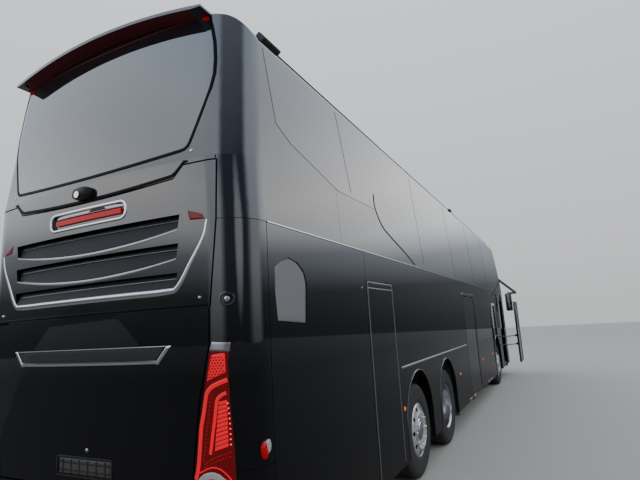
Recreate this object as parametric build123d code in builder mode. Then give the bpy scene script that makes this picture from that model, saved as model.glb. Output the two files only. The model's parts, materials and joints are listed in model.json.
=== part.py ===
"""Three-axle double-deck touring coach, right-hand doors, front door standing open.

Frame: +X forward, +Y to the coach's left, +Z up, origin on the ground below the middle of the
whole outline. Lengths are millimetres. A place along the coach is given as s, its distance
ahead of the rearmost point of the body, and at(s) turns it into X.
"""
import os
from math import cos, radians, sin

from build123d import *

# Body outline
body_length = 14000
body_width = 2550
roof_crown_z = 3990
skirt_z = 320
belt_z = 2440
cantrail_z = 3880
cantrail_inset = 67
cantrail_radius = 160
roof_seam_z = 3820
section_clear = 0.3
side_depth = 145
rear_bow = 80
rear_corner_radius = 270
front_bow = 110
front_corner_radius = 380
rear_rake_z = 2850
rear_rake = 140
tuck = 45
tuck_z = 1000
tuck_top_z = 2000
brow_run = 1300
screen_mid_run = 260
screen_mid_z = 3050
screen_foot_z = 1500
pane_corner_r = 60
glass_lap = 40
brow_depth = 400
front_post_w = 60
head_lamp_w = 455
head_lamp_z = 720
head_lamp_h = 230
front_grille_z = (470, 600)
wall = 45
glass_t = 8
seam = 6
half_width = body_width / 2
side_inner = half_width - side_depth
inside_y = half_width - wall
brow_s = body_length - brow_run
screen_mid_s = body_length - screen_mid_run

# Rear end
flap_t = 38
flap_gap = 10
seal_gap = 0.3
seal_lip = 35
corner_s = 330
engine_flap_len = 1664
engine_flap_s = corner_s + seam
locker_gap = 30
locker_s = engine_flap_s + engine_flap_len + locker_gap
locker_w = 750
locker_h = 1840
hold_s = locker_s + locker_w + seam
bow_r = (half_width ** 2 + rear_bow ** 2) / (2 * rear_bow)

# Outlines seen from behind, each a list of y and z that goes up the left side
upper_flap_top_z = 2815
upper_flap_outline = [(1040, 1918), (1085, belt_z), (1090, upper_flap_top_z),
                      (860, upper_flap_top_z), (780, 2736)]
upper_flap_mid_z = 2702
lower_flap_top_z = 1906
lower_flap_outline = [(890, 830), (917, 1036), (962, 1393), (1030, 1700), (1033, lower_flap_top_z)]
lamp_outline = [(917, 900), (963, 1013), (1000, 1438), (1035, 1656), (1050, 1712),
                (1157, 1700), (1138, 1600), (1146, 1390), (1163, 1124), (1168, 930)]
window_foot = (half_width - 395, 2924)
window_bulge = (half_width - 226, 3437)
window_head = (half_width - 290, 3900)
window_low_z = 2888
window_r = 70
window_head_r = 25
brim_half = 1000
brim_t = 25
brim_set = 1

# Louvres: height of the slot's top, its half width, its foot at the ends and at the middle
slots = [(2500, 830, 2415, 2343), (2318, 820, 2233, 2161), (2135, 812, 2045, 2045)]
slot_depth = flap_t + 8
slot_taper = 15
brake_lamp_z = (2585, 2620)
brake_lamp_half = 335
brake_lamp_depth = 20
brake_lamp_set = 4
brake_margin = 40
grille_z = 1620
grille_rows = 3
grille_pitch = 27
grille_slot_h = 18
grille_half = 610
plate_half = 260
plate_z = (900, 1010)
groove = 4
low_groove_z = 1005

# Air intake in the right engine flap, s and z
intake_outline = [(407, 1976), (409, 2159), (494, 2205), (595, 2234), (711, 2212),
                  (802, 2152), (836, 2072), (806, 1788), (428, 1809)]
wall_seam_s = 1500

# Running gear
tyre_r = 515
tyre_width = 290
half_tyre = tyre_width / 2
rim_r = 298
rim_bead_r = 286
twin_pitch = 335
wheel_y = half_width - 177
arch_r = 565
arch_centre_z = 620
front_arch_r = 620
arch_post = 149
wall_split_s = hold_s + arch_post / 2
tag_s = hold_s + arch_post + arch_r
bogie_spread = 1550
drive_s = tag_s + bogie_spread
front_overhang = 2700
front_s = body_length - front_overhang
kingpin_y = wheel_y - 113
hub_r = 140
stub_r = 45
axle_tube_r = 70
diff_r = 210
pinion_len = 380
pinion_r = 90
bearing_gap = 0.4
pin_clearance = 0.3

# Drive line
engine_s = 620
engine_len = 1260
engine_half = 370
engine_z = (560, 1360)
gearbox_len = 620
gearbox_r = 230
gearbox_z = 690
shaft_r = 40

# Decks and doors
lower_floor_z = 380
floor_t = 60
upper_floor_z = 2250
upper_floor_t = 90
aisle_half = kingpin_y - 400
hold_floor_z = 1240
bulkhead_s = drive_s + 750
bulkhead_t = 40
locker_t = 10
firewall_s = locker_s - 45
stair_run = 1400
stair_w = 720
door_head_z = 2165
front_door_w = 980
front_door_s = body_length - 1500
mid_door_s = bulkhead_s + 1090
mid_door_w = 1290
mid_door_end = mid_door_s + mid_door_w
front_door_end = front_door_s + front_door_w
front_end_s = front_door_end + front_post_w
door_gap = 14
arm_closed_deg = -175
front_arm = 600
front_open_deg = -45
mid_arm = 700
mid_open_deg = -35
post_inset = 60
post_y = half_width - 145
elbow_clear = 85
elbow_r = 80
arm_heights = (870, 1120)
leaf_frame = 75
rail_t = 10
ear_t = 12
ear_w = 60
ear_gap = 0.3
arm_r = 18
eye_t = 4
post_r = 30

# Windows
lower_sill_z = 1290
lower_window_top_z = 2080
lower_pane_gap = 90
glazing_z = 2470
glazing_top_z = 3780
glazing_rear_s = 450
glazing_front_s = body_length - 1000
glazing_step_s = 2550
glazing_step_z = 2950
pane_edge = 90
pane_count = 4
pillar_w = 90
corner_pane_s = (720, 1810)
corner_pane_z = 3260
screen_sill_z = 1260
screen_split_z = 2330
screen_split_h = 150

# Seats
seat_w = 900
seat_pitch = 790
seat_base_h = 430
seat_depth = 480
seat_back_h = 720
seat_t = 110
seat_y = half_width - 585
first_row_s = 900
last_row_s = body_length - 1700

# Driver's place
dash_s = body_length - 800
dash_w = 1100
dash_top_z = 1240
column_z = 1000
column_rake = 35
column_len = 200
hand_wheel_r = 225
driver_y = half_width - 575
driver_seat_s = body_length - 1650
driver_seat_w = 520
driver_seat_h = 200

# Mirrors
mirror_low_z = 1880
mirror_s = body_length + 260
mirror_y = half_width + 155
mirror_root_s = body_length - 280
mirror_root_y = half_width - 125
mirror_root_z = 2960
mirror_reach = half_width + 425
mirror_housing_w = 200
mirror_housing_h = 560
mirror_housing_d = 130
mirror_round = 60
mirror_edge_r = 35
blade_t = 30
blade_h = 70

# The open leaf swings forward by the travel of its arm, and the outline runs from the
# rearmost point of the body to the front edge of that leaf.
arm_travel_x = front_arm * (cos(radians(front_open_deg)) - cos(radians(arm_closed_deg)))
overall_length = front_door_s + front_door_w - door_gap + arm_travel_x
half_length = overall_length / 2
body_top_z = roof_crown_z + 200


def at(s):
    """X of a place that lies s ahead of the rearmost point."""
    return s - half_length


def slab(s_range, y_range, z_range):
    """Solid block between two places along, across and up."""
    low = (at(s_range[0]), y_range[0], z_range[0])
    size = (s_range[1] - s_range[0], y_range[1] - y_range[0], z_range[1] - z_range[0])
    return Solid.make_box(*size).moved(Location(low))


def plan_outline(z, narrow, run, inset):
    """Plan of the body at one height: narrow draws its sides in, run moves its tail forward."""
    half = half_width - narrow
    rear_x, front_x = at(rear_bow + run), at(body_length - front_bow)
    with BuildSketch(Plane.XY.offset(z)) as plan:
        with BuildLine():
            ThreePointArc((rear_x, half), (at(run), 0), (rear_x, -half))
            Line((rear_x, -half), (front_x, -half))
            ThreePointArc((front_x, -half), (at(body_length), 0), (front_x, half))
            Line((front_x, half), (rear_x, half))
        outline = make_face()
        fillet(outline.vertices().sort_by(Axis.X)[:2], rear_corner_radius)
        fillet([v for v in outline.vertices() if abs(v.X - front_x) < 1], front_corner_radius)
        if inset:
            offset(amount=-inset, mode=Mode.REPLACE)
    return plan.sketch


def roof_section(inset):
    """Cross-section whose top is the roof's arch. Its sides pass just clear of the body's."""
    cant_y = half_width - cantrail_inset + section_clear
    side_y, foot_z = half_width + section_clear, -2 * wall
    with BuildSketch(Plane.YZ.offset(at(-wall))) as section:
        with BuildLine():
            Polyline((-cant_y, cantrail_z), (-side_y, belt_z), (-side_y, foot_z),
                     (side_y, foot_z), (side_y, belt_z), (cant_y, cantrail_z))
            ThreePointArc((-cant_y, cantrail_z), (0, roof_crown_z), (cant_y, cantrail_z))
        outline = make_face()
        fillet(outline.vertices().group_by(Axis.Y)[-1], cantrail_radius)
        if inset:
            offset(amount=-inset, mode=Mode.REPLACE)
    return section.sketch


def envelope(inset, bottom):
    """Outer form of the body drawn in by inset: a loft of its plans at four heights, cut by a
    side view and a cross-section that are each carried right through the coach."""
    lean = cantrail_inset / (cantrail_z - belt_z)
    levels = [(bottom, 0, 0), (belt_z, 0, 0), (rear_rake_z, lean * (rear_rake_z - belt_z), 0),
              (body_top_z, lean * (body_top_z - belt_z), rear_rake)]
    lid = body_top_z - inset
    nose, foot = at(body_length + 2 * tuck) - inset, at(tuck) + inset
    tuck_run = tuck * (lid - tuck_z) / (tuck_top_z - tuck_z)
    with BuildPart() as block:
        loft([plan_outline(z, narrow, run, inset) for z, narrow, run in levels], ruled=True)
        with BuildSketch(Plane.XZ):
            with BuildLine():
                Polyline((foot, bottom - 1), (foot, tuck_z), (foot - tuck_run, lid),
                         (at(brow_s), lid))
                ThreePointArc((at(brow_s), lid), (at(screen_mid_s) - inset, screen_mid_z),
                              (nose, screen_foot_z))
                Polyline((nose, screen_foot_z), (nose, bottom - 1), (foot, bottom - 1))
            make_face()
        extrude(amount=body_width, both=True, mode=Mode.INTERSECT)
        extrude(roof_section(inset), amount=body_length + 2 * wall, mode=Mode.INTERSECT)
    return block.part


outer = envelope(0, skirt_z)
glass_line = envelope(glass_t, -wall)
inner = envelope(wall, -wall)
shell = outer - inner
skin = outer - glass_line
flap_shell = outer - envelope(flap_t, -wall)
recess_shell = outer - envelope(flap_t + seal_gap, -wall)
pieces = {}


def keep(name, solid):
    """Label a finished piece and put it in the list of pieces to write."""
    solid.label = name
    pieces[name] = solid


def side_sign(side):
    """Which way across the coach a side lies."""
    return -1 if side == "right" else 1


def across(side, near, far):
    """The range of Y from near to far, measured out from the centreline on one side."""
    return (-far, -near) if side == "right" else (near, far)


def arch_cut(s, radius):
    """Block that opens a wheel arch: a round head on straight legs, right across the coach."""
    with BuildPart() as cut:
        with BuildSketch(Plane.XZ):
            with Locations((at(s), arch_centre_z)):
                Circle(radius)
            with Locations((at(s), arch_centre_z / 2)):
                Rectangle(2 * radius, arch_centre_z)
        extrude(amount=body_width, both=True)
    return cut.part


def side_cut(points):
    """Block with the given outline in side view, s and z, right across the coach."""
    with BuildPart() as cut:
        with BuildSketch(Plane.XZ):
            with BuildLine():
                Polyline(*[(at(s), z) for s, z in points], close=True)
            make_face()
        extrude(amount=body_width, both=True)
    return cut.part


def wall_piece(source, s_range, y_range, z_range, cuts=()):
    """The part of a body shell that lies in one box, with pieces cut away."""
    with BuildPart() as piece:
        add(source)
        add(slab(s_range, y_range, z_range), mode=Mode.INTERSECT)
        for cut in cuts:
            add(cut, mode=Mode.SUBTRACT)
    return piece.part


def window_cut(s_range, z_range):
    """Opening for one pane, with round corners, right across the coach."""
    with BuildPart() as cut:
        with BuildSketch(Plane.XZ):
            with Locations((at(sum(s_range) / 2), sum(z_range) / 2)):
                RectangleRounded(s_range[1] - s_range[0], z_range[1] - z_range[0], pane_corner_r)
        extrude(amount=body_width, both=True)
    return cut.part


# Upper side: the glazing's outline, and the openings between its pillars
glazing_outline = [
    (glazing_rear_s, glazing_top_z),
    (glazing_rear_s + 110, 3200),
    (glazing_rear_s + 300, 3110),
    (glazing_step_s - 1000, glazing_step_z - 20),
    (glazing_step_s, glazing_step_z),
    (glazing_step_s + 130, 2790),
    (glazing_step_s + 1000, glazing_z + 100),
    (glazing_step_s + 1320, glazing_z),
    (glazing_front_s + 300, glazing_z),
    (glazing_front_s - 200, glazing_top_z),
]
window_top_z = glazing_top_z - pane_edge
first_pane_s = glazing_step_s + 1500
pane_pitch = (glazing_front_s - first_pane_s - 230) / pane_count
pane_starts = [first_pane_s + i * pane_pitch for i in range(pane_count)]
upper_windows = [window_cut((s, s + pane_pitch - pillar_w), (glazing_z + pane_edge, window_top_z))
                 for s in pane_starts]
upper_windows.append(window_cut((corner_pane_s[1] + pillar_w, first_pane_s - pillar_w),
                                (glazing_step_z + pane_edge, window_top_z)))
upper_windows.append(window_cut(corner_pane_s, (corner_pane_z, window_top_z)))
glazing = side_cut(glazing_outline)

arch_cuts = [arch_cut(tag_s, arch_r), arch_cut(drive_s, arch_r), arch_cut(front_s, front_arch_r)]


def pane_row(start, end, count):
    """Starts and ends of a row of panes with a pillar between each two."""
    pitch = (end - start + lower_pane_gap) / count
    return [(start + i * pitch, start + (i + 1) * pitch - lower_pane_gap) for i in range(count)]


lower_glass = {
    "right": pane_row(mid_door_end + 120, front_door_s - 160, 2),
    "left": pane_row(bulkhead_s + 400, body_length - 700, 4),
}
upper_panes = []
lower_panes = []
belt_rails = []
tail_walls = []
for side in ("right", "left"):
    near = across(side, side_inner, half_width + 1)
    upper_end = front_end_s - brow_depth
    wall_groove = skin & slab((wall_seam_s, wall_seam_s + groove), near, (belt_z, roof_seam_z))

    # Upper wall with its band of bonded glass
    pane = wall_piece(skin, (corner_s + 1, upper_end - 1), near,
                      (belt_z + 1, roof_seam_z - 1)) & glazing
    upper_panes.append(pane)
    keep(side + "_upper_wall", wall_piece(shell, (corner_s, upper_end), near,
                                          (belt_z, roof_seam_z),
                                          upper_windows + [pane, wall_groove]))

    # Lower wall: doorways, arches, locker opening and windows are cut in one long side
    cuts = list(arch_cuts)
    for start, end in lower_glass[side]:
        low, high = lower_sill_z, lower_window_top_z
        cuts.append(window_cut((start, end), (low, high)))
        outline = side_cut([(start - glass_lap, low - glass_lap), (end + glass_lap, low - glass_lap),
                            (end + glass_lap, high + glass_lap), (start - glass_lap, high + glass_lap)])
        pane = wall_piece(skin, (hold_s, front_end_s), near, (skirt_z, door_head_z)) & outline
        lower_panes.append(pane)
        cuts.append(pane)
    doorways = [(mid_door_s, mid_door_w), (front_door_s, front_door_w)] if side == "right" else []
    for start, width in doorways:
        cuts.append(slab((start, start + width), near, (skirt_z - 1, door_head_z)))
    openings = [(locker_s, locker_s + locker_w, skirt_z + seam, skirt_z + locker_h),
                (engine_flap_s, engine_flap_s + engine_flap_len, skirt_z + seam, belt_z - seam)]
    for start, end, low, high in openings:
        cuts.append(slab((start + seal_lip, end - seal_lip), near, (low + seal_lip, high - seal_lip)))
        cuts.append(recess_shell & slab((start - seam, end + seam), near, (low - seam, high + seam)))
    keep(side + "_lower_wall", wall_piece(shell, (wall_split_s, front_end_s), near,
                                          (skirt_z, door_head_z), cuts))
    belt_rails.append(wall_piece(shell, (wall_split_s, front_end_s), near, (door_head_z, belt_z)))
    tail_walls.append(wall_piece(shell, (corner_s, wall_split_s), near, (skirt_z, belt_z), cuts))

    # Engine side flap and locker door, which hinge on their rear edges
    for name, (start, end, low, high) in zip(("_locker_door", "_engine_flap"), openings):
        cuts = [skin & side_cut(intake_outline)] if side + name == "right_engine_flap" else []
        keep(side + name, wall_piece(flap_shell, (start, end), near, (low, high), cuts))
for name, solids in (("side_glass", upper_panes + lower_panes), ("belt_rails", belt_rails),
                     ("tail_walls", tail_walls)):
    with BuildPart() as both_sides:
        add(solids)
    keep(name, both_sides.part)

# Roof, rear shell, rear glass and flaps
keep("roof", wall_piece(shell, (corner_s, front_end_s - brow_depth), (-half_width, half_width),
                        (roof_seam_z, body_top_z)))
all_y = (-half_width - 1, half_width + 1)


def rear_cut(points, low_mid=None, high_mid=None, grow=0):
    """Block through the rear end, with an outline seen from behind. Its points go up the left
    side and are mirrored, and an end's edge is an arc where its middle height is given."""
    mirrored = [(-y, z) for y, z in points]
    with BuildPart() as cut:
        with BuildSketch(Plane.YZ.offset(at(-wall))):
            with BuildLine():
                Polyline(*points)
                Polyline(*mirrored)
                for near, far, middle in ((points[0], mirrored[0], low_mid),
                                          (points[-1], mirrored[-1], high_mid)):
                    if middle is None:
                        Line(near, far)
                    else:
                        ThreePointArc(near, (0, middle), far)
            make_face()
            if grow:
                offset(amount=grow, mode=Mode.REPLACE)
        extrude(amount=corner_s + wall)
    return cut.part


def window_block(inset):
    """Block through the rear end with the outline of the rear window, drawn in by inset."""
    foot_y, foot_z = window_foot[0] - inset, window_foot[1] + inset
    bulge_y, bulge_z = window_bulge[0] - inset, window_bulge[1]
    head_y, head_z = window_head[0] - inset, window_head[1] - inset
    with BuildPart() as cut:
        with BuildSketch(Plane.YZ.offset(at(-wall))):
            with BuildLine():
                ThreePointArc((-foot_y, foot_z), (0, window_low_z + inset), (foot_y, foot_z))
                ThreePointArc((foot_y, foot_z), (bulge_y, bulge_z), (head_y, head_z))
                Line((head_y, head_z), (-head_y, head_z))
                ThreePointArc((-head_y, head_z), (-bulge_y, bulge_z), (-foot_y, foot_z))
            pane = make_face()
            pane = fillet(pane.vertices().group_by(Axis.Y)[0], window_r)
            fillet(pane.vertices().group_by(Axis.Y)[-1], window_head_r)
        extrude(amount=corner_s + wall)
    return cut.part


def lamp_block(side):
    """Block through the rear end with the outline of one tail lamp."""
    with BuildPart() as cut:
        with BuildSketch(Plane.YZ.offset(at(-wall))):
            with BuildLine():
                Polyline(*[(side_sign(side) * y, z) for y, z in lamp_outline], close=True)
            make_face()
        extrude(amount=corner_s + wall)
    return cut.part


def bow_ring(profile):
    """Ring turned about the axis of the tail's bow. Each point of its profile is a depth, in
    from the outer face, and a height."""
    with BuildPart() as ring:
        with BuildSketch(Plane.XZ):
            with BuildLine():
                Polyline(*[(at(depth), z) for depth, z in profile], close=True)
            make_face()
        revolve(axis=Axis((at(bow_r), 0, 0), (0, 0, 1)))
    return ring.part


flap_openings = []
for outline, high_mid in ((upper_flap_outline, upper_flap_mid_z), (lower_flap_outline, None)):
    flap_openings.append(rear_cut(outline, high_mid=high_mid, grow=-seal_lip))
    flap_openings.append(recess_shell & rear_cut(outline, high_mid=high_mid, grow=flap_gap))
with BuildPart() as rear_glass:
    add(skin)
    add(window_block(0), mode=Mode.INTERSECT)
keep("rear_window", rear_glass.part)
lamps = [flap_shell & lamp_block(side) for side in ("right", "left")]
corner_grooves = []
for side in ("right", "left"):
    for z, y in ((belt_z, upper_flap_outline[1][0]), (low_groove_z, lamp_outline[-1][0])):
        corner_grooves.append(skin & slab((0, corner_s), across(side, y, half_width),
                                          (z - groove / 2, z + groove / 2)))

# The roof's skin runs on past the raked tail as a brim over the rear window. It is set just
# below the roof's own face, so that it is buried in the roof where the two are joined.
with BuildPart() as brim:
    extrude(plan_outline(belt_z, 0, 0, 0), amount=body_top_z - belt_z)
    extrude(roof_section(brim_set), amount=corner_s, mode=Mode.INTERSECT)
    extrude(roof_section(brim_t), amount=corner_s, mode=Mode.SUBTRACT)
    add(slab((-wall, corner_s), (-brim_half, brim_half), (window_head[1], body_top_z)),
        mode=Mode.INTERSECT)
with BuildPart() as window_recess:
    add(window_block(0))
    add(glass_line, mode=Mode.SUBTRACT)
with BuildPart() as rear_shell:
    add(wall_piece(shell, (0, corner_s), all_y, (skirt_z, body_top_z),
                   [window_block(pane_edge), window_recess.part]
                   + flap_openings + lamps + corner_grooves))
    add(brim.part)
keep("rear_shell", rear_shell.part)

# Upper flap: each louvre is a ramp that runs in from its foot to behind the skin at its top
with BuildPart() as upper_flap:
    add(flap_shell)
    add(rear_cut(upper_flap_outline, high_mid=upper_flap_mid_z), mode=Mode.INTERSECT)
    for top, half, end_foot, mid_foot in slots:
        run_out = wall * (top - mid_foot) / slot_depth
        ramp = bow_ring([(-wall, top), (slot_depth, top), (-wall, mid_foot - run_out)])
        low_mid = None if mid_foot == end_foot else mid_foot
        add(ramp & rear_cut([(half - slot_taper, end_foot), (half, top + 1)], low_mid=low_mid),
            mode=Mode.SUBTRACT)
    low, high = brake_lamp_z
    pocket = bow_ring([(-wall, low - brake_margin), (brake_lamp_depth, low - brake_margin),
                       (brake_lamp_depth, high + brake_margin), (-wall, high + brake_margin)])
    surround = slab((-wall, corner_s), (-brake_lamp_half - brake_margin, brake_lamp_half + brake_margin),
                    (low - 2 * brake_margin, high + 2 * brake_margin))
    add(pocket & surround, mode=Mode.SUBTRACT)
keep("rear_upper_flap", upper_flap.part)
with BuildPart() as brake_lamp:
    add(bow_ring([(brake_lamp_set, low), (brake_lamp_depth, low),
                  (brake_lamp_depth, high), (brake_lamp_set, high)]))
    add(slab((-wall, corner_s), (-brake_lamp_half, brake_lamp_half), (low - wall, high + wall)),
        mode=Mode.INTERSECT)
keep("brake_lamp", brake_lamp.part)

with BuildPart() as lower_flap:
    add(flap_shell)
    add(rear_cut(lower_flap_outline), mode=Mode.INTERSECT)
    for i in range(grille_rows):
        z, half = grille_z + i * grille_pitch, grille_half + i * slot_taper
        add(rear_cut([(half, z), (half + slot_taper, z + grille_slot_h)]), mode=Mode.SUBTRACT)
    add(skin & slab((0, corner_s), (-plate_half, plate_half), plate_z), mode=Mode.SUBTRACT)
keep("rear_lower_flap", lower_flap.part)
with BuildPart() as tail_lamps:
    add(lamps)
keep("tail_lamps", tail_lamps.part)

# Front end
nose_s = body_length + 1
lower_screen = slab((front_end_s + 60, nose_s), all_y, (screen_sill_z, screen_split_z))
lower_screen_hole = slab((front_end_s + 110, nose_s), (-half_width + 110, half_width - 110),
                         (screen_sill_z + 60, screen_split_z - 60))
upper_screen = slab((front_end_s - brow_depth + 100, nose_s), (-half_width + 60, half_width - 60),
                    (screen_split_z + screen_split_h, roof_seam_z - 60))
upper_screen_hole = slab((front_end_s - brow_depth + 150, nose_s),
                         (-half_width + 170, half_width - 170),
                         (screen_split_z + screen_split_h + 60, roof_seam_z - 120))
screens = [skin & lower_screen, skin & upper_screen]
with BuildPart() as windscreens:
    add(screens)
keep("windscreens", windscreens.part)
head_lamps = [flap_shell & slab((front_end_s, nose_s), across(side, half_width - head_lamp_w, half_width),
                                (head_lamp_z, head_lamp_z + head_lamp_h))
              for side in ("right", "left")]
with BuildPart() as front_lamps:
    add(head_lamps)
keep("head_lamps", front_lamps.part)
cap_cuts = [lower_screen_hole, upper_screen_hole] + screens
front_grille = skin & slab((front_end_s, nose_s), (-grille_half, grille_half), front_grille_z)
keep("front_mask", wall_piece(shell, (front_end_s, nose_s), all_y, (skirt_z, belt_z),
                              cap_cuts + head_lamps + [front_grille]))
keep("front_upper_frame", wall_piece(shell, (front_end_s - brow_depth, nose_s), all_y,
                                     (belt_z, body_top_z), cap_cuts))

# Wheels: a tyre and a rim are turned about the axle line, which runs along Y
wheels = {
    "front_right": (front_s, -1, (wheel_y,)),
    "front_left": (front_s, 1, (wheel_y,)),
    "tag_right": (tag_s, -1, (wheel_y,)),
    "tag_left": (tag_s, 1, (wheel_y,)),
    "drive_right": (drive_s, -1, (wheel_y, wheel_y - twin_pitch)),
    "drive_left": (drive_s, 1, (wheel_y, wheel_y - twin_pitch)),
}


def turned(s, points, centre_y, sign):
    """Ring or disc turned about an axle line at s. Each point is a radius and a distance out
    from centre_y, towards the outside of the coach."""
    with BuildPart() as ring:
        with BuildSketch(Plane(origin=(at(s), 0, tyre_r), x_dir=(0, 0, 1), z_dir=(1, 0, 0))):
            with BuildLine():
                Polyline(*[(r, -sign * (centre_y + d)) for r, d in points], close=True)
            make_face()
        revolve(axis=Axis((at(s), 0, tyre_r), (0, 1, 0)))
    return ring.part


tyre_section = [
    (rim_bead_r + 1, -half_tyre + 35), (rim_r + 12, -half_tyre + 10), (tyre_r - 110, -half_tyre),
    (tyre_r - 35, -half_tyre + 18), (tyre_r, -half_tyre + 42), (tyre_r, half_tyre - 42),
    (tyre_r - 35, half_tyre - 18), (tyre_r - 110, half_tyre), (rim_r + 12, half_tyre - 10),
    (rim_bead_r + 1, half_tyre - 35),
]
hub_face = 40
stub_end = 60
brake_disc_r = 205
single_rim = [
    (rim_bead_r, -half_tyre + 36), (rim_r, -half_tyre + 20), (rim_r - 8, -half_tyre + 20),
    (rim_bead_r - 20, -half_tyre + 40), (rim_bead_r - 34, hub_face - 30), (hub_r + 55, hub_face + 38),
    (stub_r + 5, hub_face + 38), (stub_r + 5, hub_face + 54), (hub_r + 62, hub_face + 54),
    (rim_bead_r - 24, hub_face), (rim_bead_r - 12, half_tyre - 40), (rim_r - 8, half_tyre - 20),
    (rim_r, half_tyre - 20), (rim_bead_r, half_tyre - 36),
]
twin_disc = -twin_pitch / 2
outer_rim = [
    (rim_bead_r, -half_tyre + 36), (rim_r, -half_tyre + 20), (rim_r - 8, -half_tyre + 20),
    (rim_bead_r - 20, -half_tyre + 40), (hub_r + 55, twin_disc + 1), (stub_r + 35, twin_disc + 1),
    (stub_r + 35, twin_disc + 15), (hub_r + 62, twin_disc + 15), (rim_bead_r - 12, -half_tyre + 50),
    (rim_bead_r - 12, half_tyre - 40), (rim_r - 8, half_tyre - 20), (rim_r, half_tyre - 20),
    (rim_bead_r, half_tyre - 36),
]
hand_holes = 10
hand_hole_r = 20
hand_hole_ring_r = 228
for place, (s, sign, centres) in wheels.items():
    with BuildPart() as tyres:
        for centre in centres:
            add(turned(s, tyre_section, centre, sign))
    keep(place + "_tyre", tyres.part)
    with BuildPart() as rims:
        if len(centres) == 1:
            add(turned(s, single_rim, centres[0], sign))
            bore_r = stub_r + bearing_gap
            add(turned(s, [(bore_r, 0), (hub_r, 0), (hub_r, hub_face + 75),
                           (hub_r - 30, hub_face + 110), (0, hub_face + 110), (0, stub_end + 6),
                           (bore_r, stub_end + 6)], centres[0], sign))
        else:
            add(turned(s, outer_rim, centres[0], sign))
            add(turned(s, [(r, -d) for r, d in outer_rim], centres[1], sign))
            bore_r = axle_tube_r + bearing_gap
            add(turned(s, [(bore_r, twin_disc - 18), (hub_r, twin_disc - 18),
                           (hub_r, twin_disc + 120), (hub_r - 40, twin_disc + 150),
                           (0, twin_disc + 150), (0, twin_disc + 60),
                           (bore_r, twin_disc + 60)], centres[0], sign))
        with BuildSketch(Plane(origin=(at(s), sign * wheel_y, tyre_r), z_dir=(0, 1, 0))):
            with PolarLocations(hand_hole_ring_r, hand_holes):
                Circle(hand_hole_r)
        extrude(amount=twin_pitch, both=True, mode=Mode.SUBTRACT)
    keep(place + "_rim", rims.part)

# Steered ends of the front and tag axles
arm_z_low = 375
arm_z_high = 655
arm_t = 40
arm_inner = kingpin_y - 425
subframe_low = 215
subframe_t = 90
carriers = {"front": front_s, "tag": tag_s}
for axle, s in carriers.items():
    with BuildPart() as carrier:
        add(slab((s - 150, s + 150), (-arm_inner - 20, arm_inner + 20),
                 (subframe_low, subframe_low + subframe_t)))
        for sign in (-1, 1):
            y_range = sorted((sign * (arm_inner - 30), sign * (arm_inner + 20)))
            add(slab((s - 150, s + 150), y_range, (subframe_low, arm_z_high + 60)))
            for z in (arm_z_low - arm_t / 2, arm_z_high - arm_t / 2):
                with BuildSketch(Plane.XY.offset(z)):
                    with BuildLine():
                        Polyline((at(s) - 140, sign * arm_inner), (at(s) - 40, sign * kingpin_y),
                                 (at(s) + 40, sign * kingpin_y), (at(s) + 140, sign * arm_inner),
                                 (at(s) + 90, sign * arm_inner), (at(s), sign * (kingpin_y - 150)),
                                 (at(s) - 90, sign * arm_inner), close=True)
                    make_face()
                    with Locations((at(s), sign * kingpin_y)):
                        Circle(45)
                extrude(amount=arm_t)
    keep(axle + "_axle", carrier.part)
    for side in ("right", "left"):
        sign = side_sign(side)
        low = arm_z_low + arm_t / 2 + pin_clearance
        high = arm_z_high - arm_t / 2 - pin_clearance
        with BuildPart() as knuckle:
            with BuildSketch(Plane.XY.offset(low)):
                with Locations((at(s), sign * kingpin_y)):
                    Circle(42)
            extrude(amount=high - low)
            add(turned(s, [(0, -(wheel_y - kingpin_y)), (stub_r, -(wheel_y - kingpin_y)),
                           (stub_r, stub_end), (0, stub_end)], wheel_y, sign))
            add(turned(s, [(stub_r - 10, -60), (brake_disc_r, -60), (brake_disc_r, -30),
                           (stub_r - 10, -30)], wheel_y, sign))
        keep(axle + "_knuckle_" + side, knuckle.part)

with BuildPart() as drive_axle:
    with BuildSketch(Plane(origin=(at(drive_s), 0, tyre_r), x_dir=(1, 0, 0), z_dir=(0, 1, 0))):
        Circle(axle_tube_r)
    extrude(amount=wheel_y + twin_disc + 50, both=True)
    with Locations((at(drive_s), 0, tyre_r)):
        Sphere(diff_r)
    with BuildSketch(Plane(origin=(at(drive_s), 0, tyre_r), x_dir=(0, 1, 0), z_dir=(-1, 0, 0))):
        Circle(pinion_r)
    extrude(amount=pinion_len)
keep("drive_axle", drive_axle.part)

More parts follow.
